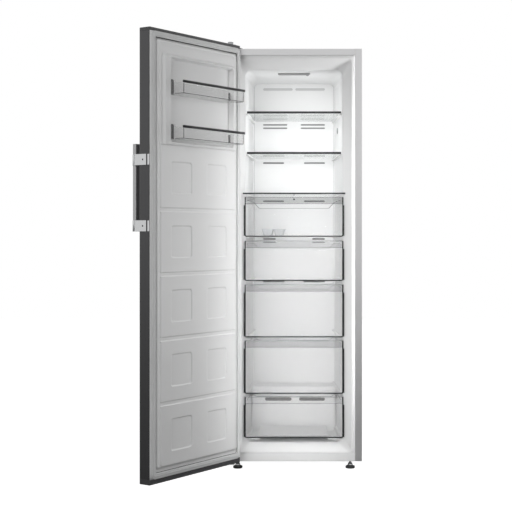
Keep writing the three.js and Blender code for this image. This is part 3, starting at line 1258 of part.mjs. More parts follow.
// the upper hinge: a stepped plate on the cabinet with the pin and its round head
const topHinge = () => {
  const z0 = CAB_H + GAP;
  const strap = alongX([
    [FRONT + HINGE_RUN, z0], [FRONT + HINGE_RUN, z0 + HINGE_T], [FRONT + 10, z0 + HINGE_T],
    [FRONT + 4, NOSE_Z + HINGE_T], [HINGE_Y - HINGE_NOSE, NOSE_Z + HINGE_T], [HINGE_Y - HINGE_NOSE, NOSE_Z],
    [FRONT + 1.5, NOSE_Z], [FRONT + 6, z0],
  ], HINGE_X0, HINGE_X1);
  const plan = alongZ(
    rounded(rectangle(HINGE_X0, HINGE_X1, HINGE_Y - HINGE_NOSE, FRONT + HINGE_RUN), [12, 12, 4, 4]),
    CAB_H, NOSE_Z + HINGE_T + BITE,
  );
  return join(
    strap.intersect(plan),
    pin(PIN_R, SKIN_TOP + 1, NOSE_Z + BITE, ROUND, [HINGE_X, HINGE_Y, 0]),
    pin(BUSH_R, NOSE_Z + HINGE_T - GAP, NOSE_Z + HINGE_T + HINGE_HEAD_H, ROUND, [HINGE_X, HINGE_Y, 0]),
  );
};

// a moulded cover over the hinge's screws, sloping down to the top panel
const hingeCover = () => {
  const x0 = HINGE_X0 - 3;
  const z0 = CAB_H + GAP;
  const profile = (t) => [
    [x0 + t, z0 - (t ? BITE : 0)], [x0 + t, z0 + COVER_H - t], [x0 + COVER_W - COVER_SLOPE - t / 2, z0 + COVER_H - t],
    [x0 + COVER_W - 3 * t, z0 + 1 - t], [x0 + COVER_W - 3 * t, z0 - (t ? BITE : 0)],
  ];
  const y0 = FRONT + 12;
  const y1 = y0 + COVER_RUN;
  const shell = cut(
    alongY(profile(0), y0, y1).intersect(alongX([
      [y0, z0 - BITE], [y0, z0 + COVER_H + BITE], [y1 - 14, z0 + COVER_H + BITE], [y1, z0 + 4], [y1, z0 - BITE],
    ], -SIDE, SIDE)),
    alongY(profile(COVER_T), y0 - BITE, y1 - 3 * COVER_T - 4),
  );
  return shell;
};

// the lower hinge: a strap under the cabinet whose pin and collar carry the door
const bottomHinge = () => {
  const x0 = HINGE_X0;
  const legX1 = Math.min(x0 + LOWER_LEG_W, -SIDE + FOOT_IN - STEM_R - 2);
  const plan = rounded([
    [x0, HINGE_Y - HINGE_NOSE], [HINGE_X1 - 6, HINGE_Y - HINGE_NOSE], [HINGE_X1 - 6, FRONT - 4],
    [legX1, FRONT + 8], [legX1, FRONT + LOWER_RUN], [x0, FRONT + LOWER_RUN],
  ], [10, 10, 4, 4, 4, 4], 3);
  return join(
    alongZ(plan, -GAP - HINGE_T - 1, -GAP),
    pin(BUSH_R - 2, -GAP - 1, DOOR_BOTTOM - GAP, ROUND, [HINGE_X, HINGE_Y, 0]),
    pin(PIN_R, 0, SKIN_BOTTOM - 4, ROUND, [HINGE_X, HINGE_Y, 0]),
  );
};

node(cabinet, 'top_hinge', topHinge(), finish.galvanised);
node(cabinet, 'hinge_cover', hingeCover(), finish.cap);
node(cabinet, 'bottom_hinge', bottomHinge(), finish.galvanised);

// ---------------------------------------------------------------- feet and rollers

// a levelling foot: a broad pad, a cone and a screw stem
const foot = ([x, y]) => turned([
  [0, -STAND_H], [FOOT_R - 1.5, -STAND_H], [FOOT_R, -STAND_H + 2], [FOOT_R, -STAND_H + FOOT_PAD_H],
  [FOOT_R - 5, -STAND_H + FOOT_PAD_H + 2], [11, -16], [STEM_R + 3, -12], [STEM_R, -10],
  [STEM_R, STEM_UP - 1], [0, STEM_UP - 1],
], ROUND, [x, y, 0]);

const ROLLER_Z = -STAND_H + ROLLER_R;
const rollerPlaces = [-1, 1].map((side) => [side * (SIDE - ROLLER_IN), BACK - ROLLER_FROM_BACK]);

const rearRoller = ([x, y]) => {
  const w = ROLLER_W / 2;
  const bore = AXLE_R + AXLE_CLEAR;
  return turned([
    [bore, -w], [ROLLER_R - 1.5, -w], [ROLLER_R, -w + 1.5], [ROLLER_R, w - 1.5], [ROLLER_R - 1.5, w],
    [bore, w], [bore, -w],
  ], ROUND, [x, y, ROLLER_Z], 'x');
};

// a bracket under the base: two ears and the roller's axle
const rollerBracket = ([x, y]) => {
  const half = ROLLER_W / 2 + EAR_CLEAR;
  const ear = (x0) => alongX(rounded([
    [y - EAR_W / 2, -GAP], [y + EAR_W / 2, -GAP], [y + 7, ROLLER_Z - 7], [y - 7, ROLLER_Z - 7],
  ], [0, 0, 5, 5], 3), x0, x0 + EAR_T);
  return join(
    block([x - half - EAR_T - 8, x + half + EAR_T + 8], [y - EAR_W / 2, y + EAR_W / 2], [-GAP - EAR_T, -GAP]),
    ear(x - half - EAR_T),
    ear(x + half),
    pin(AXLE_R, -half - 1, half + 1, SMALL_ROUND, [x, y, ROLLER_Z], 'x'),
  );
};

['left', 'right'].forEach((name, i) => {
  node(freezer, `foot_${name}`, foot(footPlaces[i]), finish.foot);
  node(cabinet, `roller_bracket_${name}`, rollerBracket(rollerPlaces[i]), finish.galvanised);
  node(freezer, `rear_roller_${name}`, rearRoller(rollerPlaces[i]), finish.foot);
});

export default freezer;
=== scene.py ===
"""Looks of the upright freezer: surfaces, finishes, studio and camera, laid out as an add-on."""

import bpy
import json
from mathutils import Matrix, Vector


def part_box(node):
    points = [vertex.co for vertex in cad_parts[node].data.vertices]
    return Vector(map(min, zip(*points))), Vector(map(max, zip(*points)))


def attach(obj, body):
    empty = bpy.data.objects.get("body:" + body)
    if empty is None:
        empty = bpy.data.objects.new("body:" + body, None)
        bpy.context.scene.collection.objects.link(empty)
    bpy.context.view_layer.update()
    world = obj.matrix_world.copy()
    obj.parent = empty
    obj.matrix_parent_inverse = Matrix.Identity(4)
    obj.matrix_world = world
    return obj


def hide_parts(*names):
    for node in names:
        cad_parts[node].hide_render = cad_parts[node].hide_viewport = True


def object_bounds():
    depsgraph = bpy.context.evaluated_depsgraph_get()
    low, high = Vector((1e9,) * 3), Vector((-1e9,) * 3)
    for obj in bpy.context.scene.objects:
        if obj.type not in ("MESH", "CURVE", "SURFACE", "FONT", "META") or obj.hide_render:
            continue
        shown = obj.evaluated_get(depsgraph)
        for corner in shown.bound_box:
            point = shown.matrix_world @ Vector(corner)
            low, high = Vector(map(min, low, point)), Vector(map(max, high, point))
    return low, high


bl_info = {
    "name": "Upright Freezer Looks",
    "version": (1, 0, 0),
    "blender": (4, 5, 0),
    "location": "3D View > Sidebar > Freezer",
    "description": "Builds the surfaces, finishes and studio of an upright freezer with its door open",
    "category": "Object",
}

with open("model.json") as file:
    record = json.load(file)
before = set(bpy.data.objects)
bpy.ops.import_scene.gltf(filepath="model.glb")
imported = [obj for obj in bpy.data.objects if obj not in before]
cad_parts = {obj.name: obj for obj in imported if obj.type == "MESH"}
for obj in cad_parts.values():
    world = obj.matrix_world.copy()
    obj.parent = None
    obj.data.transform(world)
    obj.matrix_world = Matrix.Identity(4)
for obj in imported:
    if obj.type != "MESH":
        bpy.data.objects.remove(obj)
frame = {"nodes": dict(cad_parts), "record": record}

import json
import math

import bmesh
import bpy
import numpy as np
from bpy.props import FloatProperty, FloatVectorProperty, IntProperty, PointerProperty
from mathutils import Vector

CAD_BOX = [list(map(float, corner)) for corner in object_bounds()]
FRONT = -0.300  # the cabinet's front plane
INNER = FRONT - 0.010  # the shut door's inner face, under its relief
HINGE = np.array([-0.275, -0.344])  # the hinge axis in plan
SWING = math.radians(-124.0)  # from the shut door to the open one
THROUGH = np.array([0.829, -0.5592, 0.0])  # through the open door, from its outer to its inner face
ALONG = np.array([-0.5592, -0.829])  # along the open door, away from the hinge
UP, BACK, FORWARD = (0.0, 0.0, 1.0), (0.0, 1.0, 0.0), (0.0, -1.0, 0.0)
AXIS = 1e-5  # the radius of a turned profile's ends, just wide enough for their points not to merge


# ------------------------ sizes and colours


def length(name, text, value, low=0.0):
    """A length in metres, shown in the scene's units."""
    return FloatProperty(
        name=name, description=text, default=value, min=low, unit="LENGTH", subtype="DISTANCE", precision=4)


def number(name, text, value, low=0.0):
    """A plain number with a lowest value."""
    return FloatProperty(name=name, description=text, default=value, min=low)


def colour(name, text, value):
    """A linear colour."""
    return FloatVectorProperty(name=name, description=text, default=value, min=0.0, max=1.0, size=3, subtype="COLOR")


class CabinetSizes(bpy.types.PropertyGroup):
    """Sizes of the liner, its runners and the feet."""

    mouth_half_width: length("Mouth half-width", "Half the opening's width at the front plane", 0.2515)
    mouth_top: length("Mouth top", "Height of the opening's top edge", 1.761)
    mouth_bottom: length("Mouth bottom", "Height of the opening's bottom edge", 0.039)
    slot_depth: length("Slot depth", "Depth seen through the air slots", 0.010)
    lip: length("Lip", "Width of the flat lip round the mouth", 0.0157)
    chamfer: length("Chamfer", "Depth of the sloping mouth", 0.040)
    wall_inset: length("Wall inset", "How far the chamfer brings each side in", 0.0375)
    ceiling_drop: length("Ceiling drop", "How far the chamfer brings the ceiling down", 0.045)
    floor_rise: length("Floor rise", "How far the chamfer brings the floor up", 0.040)
    wall_taper: length("Wall taper", "Draft of each side wall from chamfer to back", 0.024)
    ceiling_fall: length("Ceiling fall", "Fall of the ceiling from chamfer to back", 0.008)
    liner_depth: length("Liner depth", "Depth of the rear wall", 0.545)
    soft_radius: length("Soft edge", "Rounding of the liner's forming edges", 0.009)
    runner_width: length("Runner width", "How far a moulded runner stands off the wall", 0.012)
    runner_height: length("Runner height", "Height of a moulded runner", 0.008)
    foot_radius: length("Foot radius", "Radius of a levelling foot", 0.021)


class DoorSizes(bpy.types.PropertyGroup):
    """Sizes of the door's liner, seal and bins."""

    plug_half_width: length("Plug half-width", "Half-width of the plug at its foot", 0.255)
    plug_height: length("Plug height", "How proud the plug's face stands", 0.014)
    frame_height: length("Frame height", "How proud the frame round the bins stands", 0.027)
    recess_height: length("Recess height", "Level of the floor inside the frame", 0.003)
    plug_foot: length("Plug foot", "Height of the plug's outer slope", 0.0095)
    recess_aside: length("Recess aside", "Sunk recess's centre, out from the door's middle", -0.009, -0.05)
    groove_depth: length("Groove depth", "Depth of the grooves between panels", 0.0034)
    groove_width: length("Groove width", "Width of the grooves between panels", 0.016)
    panel_width: length("Panel width", "Width of a sunk square panel", 0.132)
    panel_height: length("Panel height", "Height of a sunk square panel", 0.128)
    panel_place: length("Panel place", "Each panel's centre, out from the door's middle", 0.116)
    panel_depth: length("Panel depth", "Depth of the sunk square panels", 0.0036)
    seal_width: length("Seal width", "Width of the seal's cushion", 0.023)
    hook_width: length("Hook width", "Width of a bin's hook on the recess", 0.0215)
    hook_height: length("Hook height", "Height of a bin's hook on the recess", 0.058)
    hook_place: length("Hook place", "Each hook's centre, out from the door's middle", 0.189)
    bin_line: length("Bin edge", "Width of a bin's darker edges", 0.0018)
    rail_height: length("Rail height", "Height of a bin's dark rail", 0.010)


class DrawerSizes(bpy.types.PropertyGroup):
    """Sizes of the clear drawer fronts and boxes."""

    half_width: length("Half-width", "Half the width of a drawer front", 0.217)
    pane: length("Pane", "Thickness of a front's pane", 0.003)
    grip: length("Grip strip", "Height of the strip along the top", 0.030)
    grip_step: length("Grip step", "How far the grip strip stands forward", 0.005)
    # The dark edge is painted shade for the refraction in the front's thick clear edge.
    edge: length("Edge", "Width of the dark moulded edge", 0.0052)
    corner: length("Corner", "Corner radius of a front", 0.006)
    brim: length("Brim", "Width of a box's darker top edge", 0.0016)
    rear_slope: length("Rear slope", "Depth of a box's sloping rear", 0.094)
    rear_drop: length("Rear drop", "How much lower a box's rear edge is", 0.027)
    front_steps: IntProperty(
        name="Corner steps", description="Points on each rounded corner", default=6, min=2, max=24)


class FinishColours(bpy.types.PropertyGroup):
    """Colours of the finishes."""

    steel: colour("Casing", "Satin casing sheet", (0.62, 0.62, 0.625))
    door_steel: colour("Door sheet", "Dark brushed door sheet", (0.085, 0.085, 0.087))
    handle: colour("Handle", "Brushed handle bar", (0.40, 0.40, 0.405))
    bright: colour("Bright metal", "Handle arms", (0.56, 0.565, 0.57))
    zinc: colour("Zinc", "Coated sheet behind and below", (0.42, 0.43, 0.44))
    white: colour("White", "Liner and covers", (0.86, 0.862, 0.862))
    seal: colour("Seal", "Door seal", (0.74, 0.745, 0.745))
    clear: colour("Clear plastic", "Drawer boxes and bins", (0.86, 0.865, 0.865))
    clear_rim: colour("Clear plastic edge-on", "Clear plastic where it is seen edge-on", (0.16, 0.165, 0.165))
    pane: colour("Drawer pane", "Drawer fronts", (0.78, 0.78, 0.78))
    grip: colour("Grip strip", "Strip along the top of a drawer front", (0.34, 0.345, 0.345))
    # Darker than the other grip strips by a painted reflection of the dark shelf trim and ceiling above the highest
    # drawer.
    grip_painted_reflection: colour("Upper grip strip", "Strip along the top of the highest drawer front", (0.10, 0.102, 0.102))
    glass: colour("Glass", "Shelves", (0.80, 0.86, 0.85))
    glass_rim: colour("Glass edge-on", "Shelf glass where it is seen edge-on", (0.42, 0.46, 0.45))
    trim: colour("Trim", "Dark shelf and bin trims", (0.028, 0.028, 0.030))
    cap: colour("Door cap", "Grey moulded end caps", (0.06, 0.06, 0.062))
    foot: colour("Foot", "Moulded feet", (0.07, 0.07, 0.071))
    foam: colour("Foam", "Insulation", (0.76, 0.68, 0.42))
    machine: colour("Machine", "Compressor enamel", (0.012, 0.012, 0.013))
    copper: colour("Copper", "Pipes", (0.62, 0.27, 0.13))


class StudioSettings(bpy.types.PropertyGroup):
    """Camera and lights; the lights' powers are in watts."""

    distance: length("Distance", "Camera in front of the part's origin", 5.580)
    eye_height: length("Eye height", "Camera above the part's origin", 0.990)
    lens: number("Lens", "Focal length in millimetres", 84.87, 10.0)
    shift_x: number("Shift X", "Sideways lens shift", -0.0742, -2.0)
    shift_y: number("Shift Y", "Upward lens shift", -0.0410, -2.0)
    key: number("Key light", "Power of the front lamp, left of the camera", 74.0)
    side: number("Side light", "Power of the lamp on the right", 7.6)
    inner: number("Inner light", "Power of the lamp before the compartment", 1.95)
    upper: number("Shelf light", "Power of the lamp before the shelves", 0.7)
    above: number("Top light", "Power of the lamp above", 1.6)
    ambience: number("Ambience", "Strength of the studio's even light", 0.17)


# ------------------------ shapes as functions


def quads(rows, cols, wrap_rows=False, wrap_cols=False):
    """Corner numbers of the faces of a rows by cols grid whose points are numbered row by row."""
    r = np.arange(rows if wrap_rows else rows - 1)[:, None]
    c = np.arange(cols if wrap_cols else cols - 1)[None, :]
    r2, c2 = (r + 1) % rows, (c + 1) % cols
    return np.stack([r * cols + c, r * cols + c2, r2 * cols + c2, r2 * cols + c], -1).reshape(-1, 4)


def soften(line, radius, steps=5):
    """A polyline whose inner corners become arcs of the given radius, tangent to both legs."""
    line = np.asarray(line, float)
    radius = np.broadcast_to(radius, len(line))
    out = [line[0]]
    for before, corner, after, r in zip(line[:-2], line[1:-1], line[2:], radius[1:-1]):
        a, b = before - corner, after - corner
        la, lb = np.linalg.norm(a), np.linalg.norm(b)
        a, b = a / la, b / lb
        half = math.acos(np.clip(a @ b, -1, 1)) / 2
        run = min(r / math.tan(half), 0.49 * la, 0.49 * lb)
        r = run * math.tan(half)
        centre = corner + (a + b) / np.linalg.norm(a + b) * r / math.sin(half)
        start, end = corner + a * run - centre, corner + b * run - centre
        sweep = math.atan2(start[0] * end[1] - start[1] * end[0], start @ end)
        t = np.linspace(0, sweep, steps + 1)[:, None]
        out.extend(centre + start * np.cos(t) + np.array([-start[1], start[0]]) * np.sin(t))
    out.append(line[-1])
    return np.array(out)


def rounded(corners, radius, steps):
    """A closed section whose corners, all but the first, become arcs."""
    return soften([*corners, corners[0]], radius, steps)[:-1]


def oblong(left, right, low, high):
    """The corners of a rectangle, anticlockwise from the low left."""
    return np.array([(left, low), (right, low), (right, high), (left, high)])


def circle(steps):
    """Points round a circle of radius one: (cos t, sin t)."""
    t = np.linspace(0, 2 * math.pi, steps, endpoint=False)
    return np.stack([np.cos(t), np.sin(t)], -1)


def lift(line, value, axis):
    """A flat line of two coordinates, given one value of the coordinate that it lacks."""
    return np.insert(np.asarray(line, float), axis, value, axis=1)


def prism(section, values, axis):
    """Rows of a straight bar: a flat section at some values of the coordinate that it lacks."""
    return np.array([lift(section, value, axis) for value in values])


def ring(half_width, low, high, radius, steps=8, centre=0.0):
    """A rounded rectangle: four quarter circles of equal steps, anticlockwise from the right foot."""
    t = np.linspace(-math.pi / 2, 0, steps + 1)
    quarters = t[None, :] + np.arange(4)[:, None] * math.pi / 2
    sx = np.array([1, 1, -1, -1])[:, None]
    sz = np.array([0, 1, 1, 0])[:, None]
    x = centre + sx * (half_width - radius) + radius * np.cos(quarters)
    z = np.where(sz > 0, high - radius, low + radius) + radius * np.sin(quarters)
    return np.stack([x.ravel(), z.ravel()], -1)


def revolve(profile, centre, steps=48):
    """A profile of (radius, height) turned about an upright line: x = r cos t, y = r sin t, z = h."""
    turn = circle(steps)
    r, h = np.array(profile)[:, 0, None], np.array(profile)[:, 1, None]
    return np.stack([centre[0] + r * turn[:, 0], centre[1] + r * turn[:, 1], centre[2] + h + 0 * turn[:, 0]], -1)


def carry(section, path, normals):
    """A section of (across, out) carried along a path, with one normal for all points or one for each.

    point = path + across * side + out * normal, where side is tangent x normal.
    """
    tangents = np.gradient(path, axis=0)
    tangents /= np.linalg.norm(tangents, axis=1, keepdims=True)
    side = np.cross(tangents, normals)
    side /= np.linalg.norm(side, axis=1, keepdims=True)
    out = np.cross(side, tangents)
    return path[:, None, :] + section[None, :, :1] * side[:, None, :] + section[None, :, 1:] * out[:, None, :]


def step(value):
    """A soft step: 3 t squared minus 2 t cubed, held at nought and one outside."""
    t = np.clip(value, 0, 1)
    return t * t * (3 - 2 * t)


def inside(x, z, half_width, low, high, radius, centre=0.0):
    """Distance from a point to a rounded rectangle's edge, positive inside."""
    qx = np.abs(x - centre) - half_width + radius
    qz = np.abs(z - (low + high) / 2) - (high - low) / 2 + radius
    outer = np.hypot(np.maximum(qx, 0), np.maximum(qz, 0))
    return radius - outer - np.minimum(np.maximum(qx, qz), 0)


def swung(points):
    """Points of the shut door turned about the hinge axis into the open rest pose."""
    points = np.array(points, float)
    c, s = math.cos(SWING), math.sin(SWING)
    dx, dy = points[..., 0] - HINGE[0], points[..., 1] - HINGE[1]
    points[..., 0] = HINGE[0] + c * dx - s * dy
    points[..., 1] = HINGE[1] + s * dx + c * dy
    return points


class Skin:
    """Gathers grids of points and makes one mesh of them."""

    def __init__(self):
        self.points, self.faces, self.count = [], [], 0

    def grid(self, points, wrap_rows=False, wrap_cols=False, flip=False):
        """Adds a grid, which may run on from its last row or column to the first."""
        rows, cols = points.shape[:2]
        faces = quads(rows, cols, wrap_rows, wrap_cols)
        if flip:
            faces = faces[:, ::-1]
        self.points.append(points.reshape(-1, 3))
        self.faces += (faces + self.count).tolist()
        self.count += rows * cols
        return self

    def bar(self, rows):
        """Adds rows of a closed section and shuts the first and last with one face each."""
        start, cols = self.count, rows.shape[1]
        self.grid(rows, wrap_cols=True)
        self.faces += [list(range(start, start + cols))[::-1], list(range(self.count - cols, self.count))]
        return self

    def piece(self, name, body, finish, slot, stands_for=(), closed=True, smooth=True, sharp=None):
        """Makes the object, turns a closed skin's faces outward, and hangs it on its body.

        Its faces are flat, or smooth, or smooth except across edges sharper than an angle.
        """
        mesh = bpy.data.meshes.new(name)
        mesh.from_pydata(np.concatenate(self.points), [], self.faces)
        mesh.update()
        if closed:
            tidy(mesh)
        if sharp:
            smooth_by_angle(mesh, sharp)
        elif smooth:
            mesh.shade_smooth()
        return settle(name, mesh, body, finish, stands_for)


def flat_piece(name, body, finish, slot, *bars, stands_for=()):
    """A piece with flat faces, made of bars."""
    skin = Skin()
    for rows in bars:
        skin.bar(rows)
    return skin.piece(name, body, finish, slot, stands_for, smooth=False)


def walled(sheet, thickness=0.002):
    """Gives an open sheet a formed liner's thickness, on its back."""
    wall = sheet.modifiers.new("Wall", "SOLIDIFY")
    wall.thickness, wall.offset = thickness, -1.0


def points_of(mesh):
    """A mesh's points, one row each."""
    points = np.empty(len(mesh.vertices) * 3)
    mesh.vertices.foreach_get("co", points)
    return points.reshape(-1, 3)


def tidy(mesh, merge=1e-6, flat=0.0):
    """Merges doubled points, joins faces that lie within a small angle of one plane, and turns the faces outward."""
    work = bmesh.new()
    work.from_mesh(mesh)
    bmesh.ops.remove_doubles(work, verts=work.verts, dist=merge)
    if flat:
        bmesh.ops.dissolve_limit(work, angle_limit=math.radians(flat), verts=work.verts, edges=work.edges)
    bmesh.ops.recalc_face_normals(work, faces=work.faces)
    work.to_mesh(mesh)
    work.free()


def settle(name, mesh, body, finish, stands_for=()):
    """Links a finished mesh as a piece of a body."""
    made = bpy.data.objects.new(name, mesh)
    bpy.context.scene.collection.objects.link(made)
    mesh.materials.append(bpy.data.materials[finish])
    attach(made, body)
    if stands_for:
        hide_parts(*stands_for)
    return made


def smooth_by_angle(mesh, angle):
    """Shades faces smooth except across edges sharper than an angle."""
    mesh.shade_smooth()
    mesh.set_sharp_from_angle(angle=math.radians(angle))


def body_of(node):
    """The body that carries a node of the frame."""
    for body, nodes in frame["record"]["behaviour"]["bodies"].items():
        if node in nodes:
            return body
    raise ValueError(node)


def softened(node, finish, width=0.0008, segments=2, sharper_than=35.0, smooth_to=32.0):
    """A copy of a node with merged points and rounded edges, in its place."""
    mesh = frame["nodes"][node].data.copy()
    mesh.materials.clear()
    mesh.name = node + "_surface"
    tidy(mesh, merge=2e-6, flat=0.4)
    made = settle(mesh.name, mesh, body_of(node), finish, (node,))
    bevel = made.modifiers.new("Edges", "BEVEL")
    bevel.width, bevel.segments = width, segments
    bevel.limit_method, bevel.angle_limit = "ANGLE", math.radians(sharper_than)
    bevel.harden_normals = True
    smooth_by_angle(mesh, smooth_to)
    return made


SLOTS = {part["node"]: part["material_slot"] for part in frame["record"]["subparts"]}


# ------------------------ finishes


def node_in(tree, kind, inputs=None, **settings):
    """Adds a shader node, sets its properties, and then its inputs' values by name or number."""
    made = tree.nodes.new("ShaderNode" + kind)
    for key, value in settings.items():
        setattr(made, key, value)
    for key, value in (inputs or {}).items():
        made.inputs[key].default_value = value
    return made


def wire(tree, *links):
    """Joins shader nodes; a link is (node, its output, node, its input)."""
    for source, output, target, entry in links:
        tree.links.new(source.outputs[output], target.inputs[entry])


def grain_group():
    """A node group: noise stretched by a scale vector, giving a value, a roughness and a shade factor.

    value = noise(position * scale); roughness = base + spread * (value - 0.5); shade = 1 + tone * (value - 0.5).
    """
    group = bpy.data.node_groups.new("Surface Grain", "ShaderNodeTree")
    for name, kind, value in (
        ("Vector", "Vector", (0.0, 0.0, 0.0)),
        ("Scale", "Vector", (100.0, 100.0, 100.0)),
        ("Base Roughness", "Float", 0.4),
        ("Roughness Spread", "Float", 0.1),
        ("Colour", "Color", (0.8, 0.8, 0.8, 1.0)),
        ("Tone", "Float", 0.05),
    ):
        socket = group.interface.new_socket(name=name, in_out="INPUT", socket_type="NodeSocket" + kind)
        socket.default_value = value
    for name, kind in (("Colour", "Color"), ("Roughness", "Float"), ("Height", "Float")):
        group.interface.new_socket(name=name, in_out="OUTPUT", socket_type="NodeSocket" + kind)
    entry, leave = group.nodes.new("NodeGroupInput"), group.nodes.new("NodeGroupOutput")
    stretch = node_in(group, "VectorMath", operation="MULTIPLY")
    noise = node_in(group, "TexNoise", {"Scale": 1.0, "Detail": 3.0, "Roughness": 0.6})
    centred = node_in(group, "Math", {1: 0.5}, operation="SUBTRACT")
    rough = node_in(group, "Math", operation="MULTIPLY_ADD")
    tone = node_in(group, "Math", {2: 1.0}, operation="MULTIPLY_ADD")
    shade = node_in(group, "VectorMath", operation="SCALE")
    wire(
        group,
        (entry, "Vector", stretch, 0), (entry, "Scale", stretch, 1), (stretch, 0, noise, "Vector"),
        (noise, "Fac", centred, 0), (centred, 0, rough, 0), (entry, "Roughness Spread", rough, 1),
        (entry, "Base Roughness", rough, 2), (centred, 0, tone, 0), (entry, "Tone", tone, 1),
        (entry, "Colour", shade, 0), (tone, 0, shade, "Scale"), (shade, 0, leave, "Colour"),
        (rough, 0, leave, "Roughness"), (noise, "Fac", leave, "Height"),
    )


def finish(name, rgb, roughness, metallic, scale, spread, tone, bump=0.0, depth=0.0002, alpha=1.0, specular=0.5):
    """A material: one Principled shader fed by the grain group, with constants on its own sockets.

    The grain's scale is one number, or three where it is drawn out along an axis.
    """
    made = bpy.data.materials.new(name)
    made.use_nodes = True
    tree = made.node_tree
    shader = tree.nodes["Principled BSDF"]
    place = node_in(tree, "TexCoord")
    grain = node_in(tree, "Group", {
        "Scale": scale if isinstance(scale, tuple) else (scale,) * 3,
        "Base Roughness": roughness,
        "Roughness Spread": spread,
        "Colour": (*rgb, 1.0),
        "Tone": tone,
    }, node_tree=bpy.data.node_groups["Surface Grain"])
    wire(tree, (place, "Object", grain, "Vector"), (grain, "Colour", shader, "Base Color"),
         (grain, "Roughness", shader, "Roughness"))
    if bump:
        dent = node_in(tree, "Bump", {"Strength": bump, "Distance": depth})
        wire(tree, (grain, "Height", dent, "Height"), (dent, "Normal", shader, "Normal"))
    for socket, value in (("Metallic", metallic), ("Specular IOR Level", specular), ("Alpha", alpha)):
        shader.inputs[socket].default_value = value
    if alpha < 1:
        made.surface_render_method = "BLENDED"
    return made


def clear_finish(name, rgb, rim, cover, rim_cover, roughness=0.08, power=2.0):
    """A see-through plastic or glass: cover and colour move from face to rim values as the surface turns edge-on.

    mask = facing to a power; alpha = cover + (rim cover - cover) * mask; colour = mix of face and rim by mask.
    """
    made = finish(name, rgb, roughness, 0.0, 40, 0.03, 0.02)
    made.surface_render_method = "BLENDED"
    tree = made.node_tree
    shader = tree.nodes["Principled BSDF"]
    grain = next(node for node in tree.nodes if node.type == "GROUP")
    turn = node_in(tree, "LayerWeight", {"Blend": 0.5})
    mask = node_in(tree, "Math", {1: power}, operation="POWER")
    cover_by = node_in(tree, "MapRange", {"To Min": cover, "To Max": rim_cover})
    mixer = node_in(tree, "Mix", {"B": (*rim, 1.0)}, data_type="RGBA")
    wire(
        tree,
        (turn, "Facing", mask, 0), (mask, 0, cover_by, "Value"), (cover_by, 0, shader, "Alpha"),
        (mask, 0, mixer, "Factor"), (grain, "Colour", mixer, "A"), (mixer, "Result", shader, "Base Color"),
    )


